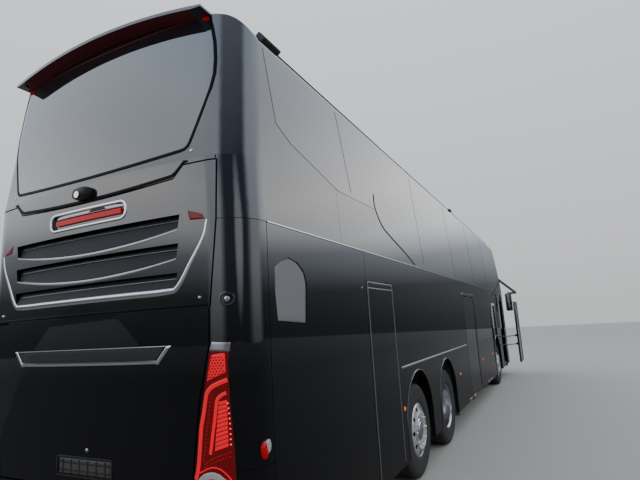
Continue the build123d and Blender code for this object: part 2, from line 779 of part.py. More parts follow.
# Underframe: rails that pass over the rear axles and drop below the low floor
rail_y = 430
rail_w = 70
rail_h = 150
rail_high_z = 1040
rail_low_z = 215
rail_low_h = 105
drop_w = 120
drop_s = bulkhead_s - bulkhead_t - drop_w
tow_beam_s = body_length - 300
tow_length = 240
tow_y = 430
tow_z = rail_low_z + rail_low_h / 2
tow_boss_r = 36
tow_thread_r = 16
well = (front_s - front_arch_r - 40, front_s + front_arch_r + 40)
with BuildPart() as underframe:
    for sign in (-1, 1):
        y_range = sorted((sign * (rail_y - rail_w / 2), sign * (rail_y + rail_w / 2)))
        add(slab((400, drop_s + drop_w), y_range, (rail_high_z, rail_high_z + rail_h)))
        add(slab((drop_s, drop_s + drop_w), y_range, (rail_low_z, rail_high_z)))
        add(slab((drop_s, front_s - 170), y_range, (rail_low_z, rail_low_z + rail_low_h)))
        add(slab((front_s + 170, body_length - 200), y_range,
                 (rail_low_z, rail_low_z + rail_low_h)))
    for s in (450, hold_s - 180, tag_s + 750, drop_s):
        add(slab((s, s + 80), (-rail_y, rail_y), (rail_high_z + 20, rail_high_z + rail_h - 20)))
    outrigger_pitch = (well[0] - 90 - bulkhead_s - 60) / 3
    low_cross = [bulkhead_s + 60 + i * outrigger_pitch for i in range(4)]
    for s in low_cross + [well[1] + 10, tow_beam_s]:
        add(slab((s, s + 80), (-half_width + wall + 10, half_width - wall - 10),
                 (rail_low_z + 10, rail_low_z + rail_low_h - 10)))
    with BuildSketch(Plane.YZ.offset(at(tow_beam_s + 80))):
        with Locations((-tow_y, tow_z)):
            Circle(tow_boss_r)
    extrude(amount=tow_length - 80)
    with BuildSketch(Plane.YZ.offset(at(tow_beam_s))):
        with Locations((-tow_y, tow_z)):
            Circle(tow_thread_r)
    extrude(amount=tow_length, mode=Mode.SUBTRACT)
keep("underframe", underframe.part)

# Decks, bulkheads and wheel housings
inside = (-inside_y, inside_y)
housing_t = 25
housing_top = 1290
step_z = (lower_floor_z - floor_t, lower_floor_z)
with BuildPart() as lower_floor:
    add(slab((bulkhead_s, well[0]), inside, step_z))
    add(slab((well[1], body_length), inside, step_z))
    add(slab(well, (-aisle_half, aisle_half), step_z))
    for side in ("right", "left"):
        add(slab(well, across(side, aisle_half, half_width - wall), (step_z[0], housing_top)))
    for side in ("right", "left"):
        add(slab((well[0] + housing_t, well[1] - housing_t),
                 across(side, aisle_half + housing_t, half_width), (0, housing_top - housing_t)),
            mode=Mode.SUBTRACT)
        add(slab((front_s - 190, front_s + 190), across(side, aisle_half - 60, half_width),
                 (0, arm_z_high + 80)), mode=Mode.SUBTRACT)
    add(inner, mode=Mode.INTERSECT)
keep("lower_floor", lower_floor.part)
stair_wells = {
    "front_stair": (front_s - 2100, front_s - 2100 + stair_run),
    "rear_stair": (bulkhead_s + 100, bulkhead_s + 100 + stair_run),
}
deck_z = (upper_floor_z - upper_floor_t, upper_floor_z)
with BuildPart() as upper_floor:
    add(slab((0, front_end_s), inside, deck_z))
    for s_range in stair_wells.values():
        add(slab(s_range, across("left", inside[1] - stair_w, half_width), deck_z),
            mode=Mode.SUBTRACT)
    add(inner, mode=Mode.INTERSECT)
keep("upper_floor", upper_floor.part)
tunnel_half = 490
with BuildPart() as bulkheads:
    add(slab((hold_s, bulkhead_s), inside, (hold_floor_z, hold_floor_z + bulkhead_t)))
    add(slab((bulkhead_s - bulkhead_t, bulkhead_s), inside, (step_z[0], deck_z[0])))
    add(slab((hold_s, hold_s + bulkhead_t), inside, (hold_floor_z, deck_z[0])))
keep("bulkheads", bulkheads.part)
with BuildPart() as locker_boxes:
    for side in ("right", "left"):
        outboard = across(side, tunnel_half, inside[1])
        add(slab((hold_s, hold_s + locker_t), outboard, (skirt_z, hold_floor_z)))
        add(slab((firewall_s, firewall_s + locker_t), outboard, (skirt_z, deck_z[0])))
        add(slab((firewall_s, hold_s), outboard, (skirt_z, skirt_z + bulkhead_t)))
        add(slab((firewall_s, hold_s), across(side, tunnel_half, tunnel_half + locker_t),
                 (skirt_z, deck_z[0])))
keep("locker_boxes", locker_boxes.part)

# Stairs between the decks, each a flight of treads on two strings
tread_count = 7
with BuildPart() as stairs:
    rise = (upper_floor_z - lower_floor_z) / tread_count
    for start, end in stair_wells.values():
        run = (end - start) / tread_count
        y_range = across("left", inside[1] - stair_w + 20, inside[1] - 10)
        with BuildSketch(Plane.XZ.offset(-y_range[0])):
            with BuildLine():
                points = []
                for i in range(tread_count):
                    points.append((at(start + i * run), lower_floor_z + i * rise))
                    points.append((at(start + i * run), lower_floor_z + (i + 1) * rise - 20))
                points.append((at(end - run), lower_floor_z + tread_count * rise - 140))
                points.append((at(start + 2 * run), lower_floor_z))
                Polyline(*points, close=True)
            make_face()
        extrude(amount=-(y_range[1] - y_range[0]))
keep("stairs", stairs.part)

# Seats: pairs either side of the aisle, one side profile carried across
seat_profile = [
    (0, seat_base_h - seat_t), (seat_depth - 60, seat_base_h - seat_t + 20),
    (seat_depth, seat_base_h), (40 + seat_t, seat_base_h + 10),
    (seat_t - 60, seat_base_h + seat_back_h), (-100, seat_base_h + seat_back_h),
    (0, seat_base_h),
]


def seat_rows(rows, floor_z):
    """Seat pairs: rows gives the side and the place of each pair's back."""
    with BuildPart() as pairs:
        for side, s in rows:
            y_low = min(across(side, seat_y - seat_w / 2, seat_y + seat_w / 2))
            with BuildSketch(Plane.XZ.offset(-y_low)):
                with BuildLine():
                    Polyline(*[(at(s) + x, floor_z + z) for x, z in seat_profile], close=True)
                make_face()
            extrude(amount=-seat_w)
            add(slab((s + 120, s + 320), (y_low + 80, y_low + seat_w - 80),
                     (floor_z, floor_z + seat_base_h - seat_t + 8)))
    return pairs.part


def clear_of_stairs(side, s):
    """True where a pair on this side of the upper deck stands clear of a stair opening."""
    ranges = stair_wells.values()
    return side == "right" or all(s + seat_depth < a or s - 120 > b for a, b in ranges)


upper_rows = [(side, s) for side in ("right", "left")
              for s in range(first_row_s, int(last_row_s), seat_pitch) if clear_of_stairs(side, s)]
lower_rows = [("right", mid_door_end + 250 + i * seat_pitch) for i in range(3)]
lower_rows += [("left", stair_wells["rear_stair"][1] + 250 + i * seat_pitch) for i in range(2)]
with BuildPart() as seats:
    add([seat_rows(upper_rows, upper_floor_z), seat_rows(lower_rows, lower_floor_z)])
keep("passenger_seats", seats.part)

# Driver's place
with BuildPart() as dashboard:
    with BuildSketch(Plane.XZ.offset(-inside[1] + 10)):
        with BuildLine():
            Polyline((at(dash_s), lower_floor_z), (at(dash_s + 250), lower_floor_z),
                     (at(dash_s + 300), dash_top_z - 190), (at(dash_s + 180), dash_top_z),
                     (at(dash_s - 60), dash_top_z - 60), (at(dash_s - 60), dash_top_z - 160),
                     (at(dash_s), column_z), close=True)
        make_face()
    extrude(amount=dash_w)
    column = Plane(origin=(at(dash_s), driver_y, column_z), x_dir=(0, 1, 0),
                   z_dir=(-sin(radians(column_rake)), 0, cos(radians(column_rake))))
    with BuildSketch(column):
        Circle(45)
    extrude(amount=column_len)
keep("dashboard", dashboard.part)
with BuildPart() as steering_wheel:
    with BuildSketch(column.offset(column_len + pin_clearance)):
        Circle(hand_wheel_r)
        Circle(hand_wheel_r - 35, mode=Mode.SUBTRACT)
        Rectangle(2 * hand_wheel_r - 50, 50)
        Circle(70)
    extrude(amount=30)
keep("steering_wheel", steering_wheel.part)
with BuildPart() as driver_seat:
    with BuildSketch(Plane.XZ.offset(-(driver_y - driver_seat_w / 2))):
        with BuildLine():
            Polyline(*[(at(driver_seat_s) + x, lower_floor_z + driver_seat_h + z)
                       for x, z in seat_profile], close=True)
        make_face()
    extrude(amount=-driver_seat_w)
    add(slab((driver_seat_s + 60, driver_seat_s + 380), (driver_y - 180, driver_y + 180),
             (lower_floor_z, lower_floor_z + driver_seat_h + seat_base_h - seat_t + 8)))
keep("driver_seat", driver_seat.part)

# Engine, gearbox and propeller shaft in one block
with BuildPart() as engine:
    engine_end = engine_s + engine_len
    gearbox_end = engine_end + gearbox_len
    add(slab((engine_s, engine_end), (-engine_half, engine_half), engine_z))
    for s in (engine_s + 200, engine_end - 300):
        add(slab((s, s + 100), (-rail_y + rail_w / 2, rail_y - rail_w / 2),
                 (rail_high_z + 20, rail_high_z + 90)))
    with BuildSketch(Plane.YZ.offset(at(engine_end))):
        with Locations((0, gearbox_z)):
            Circle(gearbox_r)
    extrude(amount=gearbox_len)
    with BuildSketch(Plane.YZ.offset(at(gearbox_end))):
        with Locations((0, tyre_r)):
            Circle(shaft_r)
    extrude(amount=drive_s - pinion_len - gearbox_end)
keep("engine", engine.part)

# Doors on swinging arms. Each leaf stays parallel to the side while its post turns.
leaf_z = (skirt_z + 20, door_head_z - door_gap)
doors = {
    "front": (front_door_s, front_door_w, front_arm, front_open_deg, True),
    "middle": (mid_door_s, mid_door_w, mid_arm, mid_open_deg, False),
}
for name, (start, width, reach, open_deg, is_open) in doors.items():
    post = (start + width - post_inset, -post_y)
    turn = open_deg if is_open else arm_closed_deg
    shift_x = reach * (cos(radians(turn)) - cos(radians(arm_closed_deg)))
    shift_y = reach * (sin(radians(turn)) - sin(radians(arm_closed_deg)))
    swing = turn - open_deg
    pivot_open = (reach * cos(radians(open_deg)), reach * sin(radians(open_deg)))
    elbow = -(half_width - post_y + elbow_clear)
    with BuildPart() as arm:
        for z in arm_heights:
            with BuildLine(Plane.XY.offset(z)) as route:
                FilletPolyline((0, 0), (0, elbow), pivot_open, radius=elbow_r)
            with BuildSketch(Plane(origin=(0, 0, z), x_dir=(1, 0, 0), z_dir=(0, -1, 0))):
                Circle(arm_r)
            sweep()
            with Locations((pivot_open[0], pivot_open[1], z)):
                Cylinder(arm_r + eye_t, 2 * (arm_r + eye_t))
        with BuildSketch(Plane.XY.offset(lower_floor_z + pin_clearance)):
            Circle(post_r)
        extrude(amount=door_head_z - lower_floor_z - 30)
    placed = arm.part.moved(Location((at(post[0]), post[1], 0), (0, 0, swing)))
    keep(name + "_door_arm", placed)
    pivot = (at(post[0]) + reach * cos(radians(turn)), post[1] + reach * sin(radians(turn)))
    face_y = -half_width + shift_y
    leaf_x = at(start + door_gap) + shift_x
    leaf_w = width - 2 * door_gap
    with BuildPart() as leaf:
        with BuildSketch(Plane.XZ.offset(-face_y - wall)):
            with Locations((leaf_x + leaf_w / 2, sum(leaf_z) / 2)):
                Rectangle(leaf_w, leaf_z[1] - leaf_z[0])
                RectangleRounded(leaf_w - 2 * leaf_frame, leaf_z[1] - leaf_z[0] - 2 * leaf_frame,
                                 60, mode=Mode.SUBTRACT)
        extrude(amount=wall)
        for z in arm_heights:
            with Locations((leaf_x + leaf_w / 2, face_y + wall + rail_t / 2, z)):
                Box(leaf_w - leaf_frame, rail_t, 3 * arm_r)
            for step in (-1, 1):
                middle = z + step * (arm_r + eye_t + ear_gap + ear_t / 2)
                with Locations((pivot[0], (pivot[1] + face_y + wall) / 2, middle)):
                    Box(ear_w, abs(pivot[1] - face_y - wall) + 2 * arm_r, ear_t)
    keep(name + "_door", leaf.part)
    with BuildPart() as pane:
        with BuildSketch(Plane.XZ.offset(-face_y - glass_t - 6)):
            with Locations((leaf_x + leaf_w / 2, sum(leaf_z) / 2)):
                RectangleRounded(leaf_w - 2 * leaf_frame, leaf_z[1] - leaf_z[0] - 2 * leaf_frame, 60)
        extrude(amount=glass_t)
    keep(name + "_door_glass", pane.part)

# Mirrors on blade arms that reach forward and out from the brow
with BuildPart() as mirrors:
    for sign in (-1, 1):
        with BuildPart() as housing:
            with BuildSketch(Plane.XY.offset(mirror_low_z)):
                with Locations((at(mirror_s), sign * mirror_y)):
                    RectangleRounded(mirror_housing_d, mirror_housing_w, mirror_round)
            extrude(amount=mirror_housing_h)
            ends = housing.faces().sort_by(Axis.Z)
            fillet(ends[0].edges() + ends[-1].edges(), mirror_edge_r)
        root_point = Vector(at(mirror_root_s), sign * mirror_root_y, mirror_root_z)
        tip_point = Vector(at(mirror_s), sign * (mirror_reach - 30), mirror_low_z + mirror_housing_h)
        inner_point = Vector(at(mirror_s), sign * mirror_y, mirror_low_z + mirror_housing_h)
        for a, b in ((root_point, tip_point), (tip_point, inner_point)):
            run = (b - a).normalized()
            with BuildSketch(Plane(origin=a, x_dir=run.cross(Vector(0, 0, 1)), z_dir=run)):
                Rectangle(blade_t, blade_h)
            extrude(amount=(b - a).length + blade_t / 2)
keep("mirrors", mirrors.part - outer)

os.makedirs("parts", exist_ok=True)
for name, solid in pieces.items():
    export_step(solid, "parts/" + name + ".step")
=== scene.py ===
"""Looks of the double-deck touring coach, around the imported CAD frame.

Everything is in metres in the CAD's frame: +X forward, +Y to the coach's left, +Z up. A place
along the coach is given as s, its distance ahead of the tail, and at(s) turns it into X.
"""
import json

from itertools import product
from math import cos, pi, radians, sin

import bmesh
import bpy
import numpy as np
from mathutils import Matrix, Vector
from mathutils.bvhtree import BVHTree


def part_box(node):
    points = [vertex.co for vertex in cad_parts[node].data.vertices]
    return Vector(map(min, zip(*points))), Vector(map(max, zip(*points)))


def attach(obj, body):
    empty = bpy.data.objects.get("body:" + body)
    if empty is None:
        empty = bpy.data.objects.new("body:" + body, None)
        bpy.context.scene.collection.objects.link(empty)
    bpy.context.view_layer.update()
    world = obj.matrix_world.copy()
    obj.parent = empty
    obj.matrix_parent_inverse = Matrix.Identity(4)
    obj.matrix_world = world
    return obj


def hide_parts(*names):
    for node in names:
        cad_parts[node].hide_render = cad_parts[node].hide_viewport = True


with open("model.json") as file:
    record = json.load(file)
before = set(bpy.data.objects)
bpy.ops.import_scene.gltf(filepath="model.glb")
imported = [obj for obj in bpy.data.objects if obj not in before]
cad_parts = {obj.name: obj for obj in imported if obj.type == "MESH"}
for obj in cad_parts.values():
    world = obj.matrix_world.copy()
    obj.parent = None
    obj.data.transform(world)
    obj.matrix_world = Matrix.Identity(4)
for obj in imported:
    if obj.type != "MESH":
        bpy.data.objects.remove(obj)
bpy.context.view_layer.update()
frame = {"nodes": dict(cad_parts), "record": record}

# Driving dimensions, as in the CAD
tail_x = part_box("rear_shell")[0][0]
half_width = 1.275
belt_z = 2.44
skirt_z = 0.32
side_lean = 0.067 / 1.44
rear_bow = 0.08
corner_r = 0.27
rake_z = 2.85
rake_slope = 0.14 / 1.335
tuck = 0.045
tuck_z = (1.0, 2.0)
wheel_r = 0.515
wheel_y = half_width - 0.177
twin_pitch = 0.335
arch_r = {"tag": 0.565, "drive": 0.565, "front": 0.62}
arch_centre_z = 0.62
axle_s = {"tag": 3.5, "drive": 5.05, "front": 11.3}
locker = (2.03, 2.78)
lower_floor_z = 0.38
upper_floor_z = 2.25
sides = {"right": -1, "left": 1}


def at(s):
    """X of a place that lies s ahead of the tail."""
    return tail_x + s


def add_camera():
    """The photograph's camera, from three vanishing points and the tyres' ground contact."""
    yaw, pitch, roll = radians(26.306), radians(10.262), radians(3.272)
    forward = Vector((cos(yaw) * cos(pitch), sin(yaw) * cos(pitch), sin(pitch)))
    level_right = Vector((sin(yaw), -cos(yaw), 0))
    level_down = -level_right.cross(forward)
    right = cos(roll) * level_right + sin(roll) * level_down
    down = cos(roll) * level_down - sin(roll) * level_right
    data = bpy.data.cameras.new("camera")
    data.lens, data.sensor_width, data.clip_end = 26.370, 36, 200
    camera = bpy.data.objects.new("camera", data)
    camera.matrix_world = Matrix((right, -down, -forward)).transposed().to_4x4()
    camera.matrix_world.translation = Vector((-9.37211, -2.86438, 1.77263))
    bpy.context.scene.collection.objects.link(camera)
    bpy.context.scene.camera = camera


add_camera()

# Surfaces
# A shape is a pair: an array of points and a list of faces.

merge_distance = 2e-6


def grid_faces(rows, columns, wrap_rows=False, wrap_columns=False):
    """Faces of a grid of points: one quad for each cell, with the last row or column joined to
    the first where it wraps."""
    i = np.arange(rows if wrap_rows else rows - 1)[:, None]
    j = np.arange(columns if wrap_columns else columns - 1)[None, :]
    i2, j2 = (i + 1) % rows, (j + 1) % columns
    quads = np.stack([i * columns + j, i * columns + j2, i2 * columns + j2, i2 * columns + j], -1)
    return quads.reshape(-1, 4).tolist()


def joined(shapes):
    """One shape made of several: their points in one array, each face's numbers moved on."""
    points, faces, start = [], [], 0
    for shape_points, shape_faces in shapes:
        points.append(shape_points)
        faces += [[start + n for n in face] for face in shape_faces]
        start += len(shape_points)
    return np.concatenate(points), faces


def unit(vectors):
    """Vectors divided by their lengths."""
    return vectors / np.linalg.norm(vectors, axis=-1, keepdims=True)


def spread(*columns):
    """Points from their coordinates, numbers or arrays that are set out to one shape."""
    return np.stack(np.broadcast_arrays(*columns), -1)


def full_turn(steps):
    """Even angles all the way round."""
    return np.linspace(0, 2 * pi, steps, endpoint=False)


def about_axis(centre, sign, radius, distance, turn):
    """Points at a radius and a turn about the line parallel to Y through centre, and at a
    distance along it, counted along Y times sign."""
    return spread(centre[0] + radius * np.cos(turn), centre[1] + sign * distance,
                  centre[2] + radius * np.sin(turn))


def carried(path, outward, profile, closed=False, scale=None):
    """A closed profile carried along a path. At each point of the path the profile's first
    number goes across, square to the path and to the outward direction, and its second goes
    outward. scale, one number for each point of the path, makes the profile larger or smaller."""
    path, profile = np.asarray(path, float), np.asarray(profile, float)
    outward = unit(np.broadcast_to(np.asarray(outward, float), path.shape))
    if closed:
        way = np.roll(path, -1, 0) - np.roll(path, 1, 0)
    else:
        way = np.gradient(path, axis=0)
    across = unit(np.cross(unit(way), outward))
    size = np.ones(len(path)) if scale is None else scale
    offsets = across[:, None] * profile[None, :, :1] + outward[:, None] * profile[None, :, 1:]
    points = path[:, None] + offsets * size[:, None, None]
    rows, columns = points.shape[:2]
    faces = grid_faces(rows, columns, wrap_rows=closed, wrap_columns=True)
    if not closed:
        last = (rows - 1) * columns
        faces += [list(range(columns))[::-1], list(range(last, last + columns))]
    return points.reshape(-1, 3), faces


def round_profile(radius, steps):
    """Points of a circle, run clockwise so that a carried tube faces outwards."""
    turn = -full_turn(steps)
    return spread(radius * np.cos(turn), radius * np.sin(turn))


def strip_profile(width, height, sink=0.002):
    """Section of a trim strip: a low crown, height times the root of one minus the fourth power
    of the place across, over a flat foot that sinks a little into what carries it."""
    place = np.linspace(1, -1, 7)
    crown = spread(place * width / 2, height * np.sqrt(np.clip(1 - place ** 4, 0, 1)))
    return np.concatenate([[[width / 2, -sink]], crown, [[-width / 2, -sink]]])


def smooth_path(points, steps=8):
    """A Catmull-Rom curve through the points, each stretch a cubic with steps cells."""
    p = np.asarray(points, float)
    p = np.concatenate([[2 * p[0] - p[1]], p, [2 * p[-1] - p[-2]]])
    t = np.linspace(0, 1, steps, endpoint=False)[:, None]
    runs = [0.5 * (2 * b + (c - a) * t + (2 * a - 5 * b + 4 * c - d) * t ** 2
                   + (3 * b - a - 3 * c + d) * t ** 3)
            for a, b, c, d in zip(p, p[1:], p[2:], p[3:])]
    return np.concatenate(runs + [p[-2:-1]])


def even_path(points, pitch):
    """Straight runs between the points, divided so that no cell is longer than pitch."""
    p = np.asarray(points, float)
    runs = []
    for a, b in zip(p, p[1:]):
        count = max(1, int(np.ceil(np.linalg.norm(b - a) / pitch)))
        runs.append(a + (b - a) * np.linspace(0, 1, count, endpoint=False)[:, None])
    return np.concatenate(runs + [p[-1:]])


def turned(profile, centre, sign, steps=48):
    """A profile of radius and distance turned about a line parallel to Y through centre."""
    radius, distance = np.asarray(profile, float).T
    points = about_axis(centre, sign, radius, distance, full_turn(steps)[:, None])
    faces = grid_faces(steps, len(radius), wrap_rows=True)
    return points.reshape(-1, 3), [face[::sign] for face in faces]


def tail_depth(y, z):
    """How far ahead of the tail's rearmost point its face lies at y and z. In plan it is a
    shallow arc with a round corner of radius corner_r; the sides lean in above the belt, the
    face leans forward above rake_z, and it is tucked in by a sloping plane near its foot."""
    half = half_width - side_lean * np.clip(z - belt_z, 0, None)
    bow = (half ** 2 + rear_bow ** 2) / (2 * rear_bow)
    corner_y = half - corner_r
    corner_x = bow - np.sqrt((bow - corner_r) ** 2 - corner_y ** 2)
    a = np.abs(y)
    bowed = bow - np.sqrt(bow ** 2 - np.minimum(a, half) ** 2)
    beyond = np.clip(a - corner_y, 0, corner_r)
    rounded = corner_x - np.sqrt(corner_r ** 2 - beyond ** 2)
    plan = np.where(a * (bow - corner_r) <= corner_y * bow, bowed, rounded)
    run = rake_slope * np.clip(z - rake_z, 0, None)
    tucked = tuck * np.clip((tuck_z[1] - z) / (tuck_z[1] - tuck_z[0]), 0, 1)
    return np.maximum(plan + run, tucked)


def on_tail(y, z, out=0.0):
    """Points on the tail's face and their outward directions, from the slopes of tail_depth."""
    y, z = np.broadcast_arrays(np.asarray(y, float), np.asarray(z, float))
    step = 1e-4
    slope_y = (tail_depth(y + step, z) - tail_depth(y - step, z)) / (2 * step)
    slope_z = (tail_depth(y, z + step) - tail_depth(y, z - step)) / (2 * step)
    outward = unit(spread(-1.0, slope_y, slope_z))
    return spread(at(tail_depth(y, z)), y, z) + out * outward, outward


def on_side(s, z, side, out=0.0):
    """Points on a side wall and their outward directions: upright to the belt, leaning above."""
    s, z = np.broadcast_arrays(np.asarray(s, float), np.asarray(z, float))
    rise = np.clip(z - belt_z, 0, None)
    other_side = (1, sides[side], 1)
    outward = unit(spread(0.0, 1.0, np.where(rise > 0, side_lean, 0))) * other_side
    return spread(at(s), half_width - side_lean * rise, z) * other_side + out * outward, outward


def on_body(place, a, b, out=0.0):
    """Points on the tail's face, where a is y and b is z, or on a side wall, where a is s."""
    return on_tail(a, b, out) if place == "tail" else on_side(a, b, place, out)


def strip(place, points, width, height, out=0.0, closed=False, pitch=0.03, scale=None):
    """A trim strip laid on the tail or a side wall through the points of a line, which is
    divided into cells no longer than pitch, or taken as it is where pitch is None."""
    route = np.asarray(points, float)
    if closed:
        route = np.concatenate([route, route[:1]])
    if pitch:
        route = even_path(route, pitch)
    places, outward = on_body(place, *(route[:-1] if closed else route).T, out)
    return carried(places, outward, strip_profile(width, height), closed, scale)


def along(points, share):
    """Places along a line of straight runs, each at a share of its whole length."""
    p = np.asarray(points, float)
    run = np.concatenate([[0], np.cumsum(np.linalg.norm(np.diff(p, axis=0), axis=1))])
    return spread(*(np.interp(share * run[-1], run, column) for column in p.T))


def slab_between(face, back):
    """A closed slab between two grids of points with the same rows and columns."""
    rows, columns = face.shape[:2]
    count = rows * columns
    faces = grid_faces(rows, columns)
    edge = [*range(columns), *range(2 * columns - 1, count, columns),
            *range(count - 2, count - columns - 1, -1),
            *range((rows - 2) * columns, 0, -columns)]
    rim = [[b, a, count + a, count + b] for a, b in zip(edge, edge[1:] + edge[:1])]
    backs = [[count + n for n in quad[::-1]] for quad in faces]
    return np.concatenate([face.reshape(-1, 3), back.reshape(-1, 3)]), faces + backs + rim


def pad(place, first, second, low=-0.002, high=0.002, rows=17, columns=9):
    """A thin closed pad ruled between two lines on the body. Its back lies at low and its face
    rises to high, times the root of one minus the eighth power of the place across, both ways,
    so that its edges are round and meet the back."""
    t = 0.5 - 0.5 * np.cos(np.linspace(0, pi, rows))
    u = 0.5 - 0.5 * np.cos(np.linspace(0, pi, columns))
    a, b = along(first, t)[:, None], along(second, t)[:, None]
    route = a + (b - a) * u[None, :, None]
    base, outward = on_body(place, *np.moveaxis(route, -1, 0))
    height = low + (high - low) * round_edged(2 * t - 1, 2 * u - 1)
    return slab_between(base + outward * height[..., None], base + outward * low)


def round_edged(a, b):
    """Rise of a pad at places from -1 to 1 along it and across it: flat, with round edges."""
    return np.sqrt(np.clip(np.outer(1 - a ** 8, 1 - b ** 8), 0, 1))


def domes(places, outward, radius, height, steps=12, rings=3):
    """Low round studs: rings that shrink as a cosine while they rise as a sine, a point on top
    and a flat back."""
    outward = unit(outward)
    no_stud_faces = (0.31, 0.22, 0.93)
    across = unit(np.cross(outward, no_stud_faces))
    upward = np.cross(outward, across)
    rise = np.linspace(0, pi / 2, rings + 1)[:, None, None]
    turn = full_turn(steps)[None, :, None]
    ring_r = radius * np.cos(rise)
    faces = grid_faces(rings + 1, steps, wrap_columns=True) + [list(range(steps))[::-1]]
    return joined([((p + ring_r * (np.cos(turn) * a + np.sin(turn) * b)
                     + height * np.sin(rise) * o).reshape(-1, 3), faces)
                   for p, o, a, b in zip(places, outward, across, upward)])


def studs(place, spots, radius, height, out=0.0, **rings):
    """Round studs at spots on the tail or a side wall."""
    a, b = np.asarray(spots, float).T
    return domes(*on_body(place, a, b, out), radius, height, **rings)


def rounded_loop(a_range, b_range, radius):
    """A closed line round a rectangle whose corners are quarter circles."""
    (a0, a1), (b0, b1) = a_range, b_range
    turn = np.linspace(0, pi / 2, 6)
    centres = ((a1 - radius, b1 - radius), (a0 + radius, b1 - radius),
               (a0 + radius, b0 + radius), (a1 - radius, b0 + radius))
    return np.concatenate([spread(a + radius * np.cos(turn + k * pi / 2),
                                  b + radius * np.sin(turn + k * pi / 2))
                           for k, (a, b) in enumerate(centres)])


def circle(a, b, radius, steps=32):
    """A closed round line about the place a, b."""
    turn = full_turn(steps)
    return spread(a + radius * np.cos(turn), b + radius * np.sin(turn))


def cast(nodes, starts, aim):
    """Where lines from the starts along aim first meet the CAD nodes, and which way they face."""
    trees = []
    for node in nodes:
        mesh = frame["nodes"][node].data
        trees.append(BVHTree.FromPolygons([v.co for v in mesh.vertices],
                                          [list(p.vertices) for p in mesh.polygons]))
    places, outward = [], []
    aim = Vector(aim).normalized()
    for start in np.asarray(starts, float).reshape(-1, 3):
        hits = [tree.ray_cast(Vector(start), aim) for tree in trees]
        place, normal, _, _ = min((hit for hit in hits if hit[0]), key=lambda hit: hit[3])
        places.append(place)
        outward.append(normal if normal.dot(aim) < 0 else -normal)
    shape = np.shape(starts)
    return np.array(places).reshape(shape), np.array(outward).reshape(shape)


def both_sides(shape):
    """A shape and its mirror image on the coach's other side, whose faces run backwards."""
    points, faces = shape
    return joined([shape, (points * (1, -1, 1), [face[::-1] for face in faces])])


def cushion(centre, half_sizes, lean=0.0, edge=0.35):
    """A crowned pad: a superellipsoid, each half size times powers of sines and cosines of two
    angles, whose sides pull in between its corners. lean turns it about its middle."""
    lat = np.linspace(-pi / 2, pi / 2, 13)[:, None]
    lon = full_turn(20)[None, :]

    def power(value):
        return np.sign(value) * np.abs(value) ** edge

    a, b, c = half_sizes
    x = a * power(np.cos(lat)) * power(np.cos(lon))
    y = b * power(np.cos(lat)) * power(np.sin(lon))
    z = c * power(np.sin(lat)) + 0 * lon
    points = spread(x * cos(lean) + z * sin(lean), y, z * cos(lean) - x * sin(lean))
    return points.reshape(-1, 3) + centre, grid_faces(*x.shape, wrap_columns=True)


def add_piece(name, shape, material, body="root", sharp=40):
    """Put a shape into the scene as one object that rides on a body. Points that coincide are
    merged, which closes seams and poles, and then the faces are turned outwards."""
    points, faces = shape
    mesh = bpy.data.meshes.new(name)
    mesh.from_pydata(np.asarray(points).tolist(), [], faces)
    work = bmesh.new()
    work.from_mesh(mesh)
    bmesh.ops.remove_doubles(work, verts=work.verts, dist=merge_distance)
    bmesh.ops.recalc_face_normals(work, faces=work.faces)
    work.to_mesh(mesh)
    work.free()
    mesh.shade_smooth()
    mesh.set_sharp_from_angle(angle=radians(sharp))
    mesh.materials.append(material)
    piece = bpy.data.objects.new(name, mesh)
    bpy.context.scene.collection.objects.link(piece)
    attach(piece, body)
    return piece


def add_pieces(rows, body="root"):
    """Pieces on one body, each from a row of its name, shape and finish."""
    for row in rows:
        add_piece(*row, body)


# Finishes


def add_node(tree, kind, inputs=None, **settings):
    """A shader node with its settings and inputs."""
    node = tree.nodes.new(f"ShaderNode{kind}")
    for label, value in settings.items():
        setattr(node, label, value)
    feed(tree, node, inputs or {})
    return node


def feed(tree, node, inputs):
    """Give a node's inputs their values, each a socket to link or a plain value."""
    for label, value in inputs.items():
        if isinstance(value, bpy.types.NodeSocket):
            tree.links.new(value, node.inputs[label])
        else:
            node.inputs[label].default_value = value


def math_node(tree, operation, a, b=None, clamp=False):
    """A Math node whose inputs are sockets or numbers; gives its output."""
    inputs = {0: a} if b is None else {0: a, 1: b}
    return add_node(tree, "Math", inputs, operation=operation, use_clamp=clamp).outputs[0]


def split(tree, vector):
    """The X, Y and Z of a vector's socket."""
    return add_node(tree, "SeparateXYZ", {0: vector}).outputs


def blended(tree, share, low, high, **settings):
    """A colour between two, each plain or a socket, by a share."""
    low, high = (color if isinstance(color, bpy.types.NodeSocket) else (*color, 1)
                 for color in (low, high))
    return add_node(tree, "Mix", {"Factor": share, "A": low, "B": high}, data_type="RGBA",
                    **settings).outputs["Result"]


def ranged(tree, mask, low, high):
    """A number that runs from low to high with a mask."""
    return math_node(tree, "ADD", math_node(tree, "MULTIPLY", mask, high - low), low)


def bumped(tree, height, strength, depth):
    """The surface's direction where a height is a bump."""
    return add_node(tree, "Bump", {"Strength": strength, "Distance": depth,
                                   "Height": height}).outputs[0]


def new_group(name, inputs, output, build):
    """A shader node group of numbers. build gets its tree, its inputs and the place in the
    object's coordinates, and gives what goes out."""
    tree = bpy.data.node_groups.new(name, "ShaderNodeTree")
    for label, value in inputs.items():
        socket = tree.interface.new_socket(label, in_out="INPUT", socket_type="NodeSocketFloat")
        socket.default_value = value
    tree.interface.new_socket(output, in_out="OUTPUT", socket_type="NodeSocketFloat")
    given = tree.nodes.new("NodeGroupInput").outputs
    place = add_node(tree, "TexCoord").outputs["Object"]
    out = tree.nodes.new("NodeGroupOutput")
    tree.links.new(build(tree, given, place), out.inputs[output])
    return tree


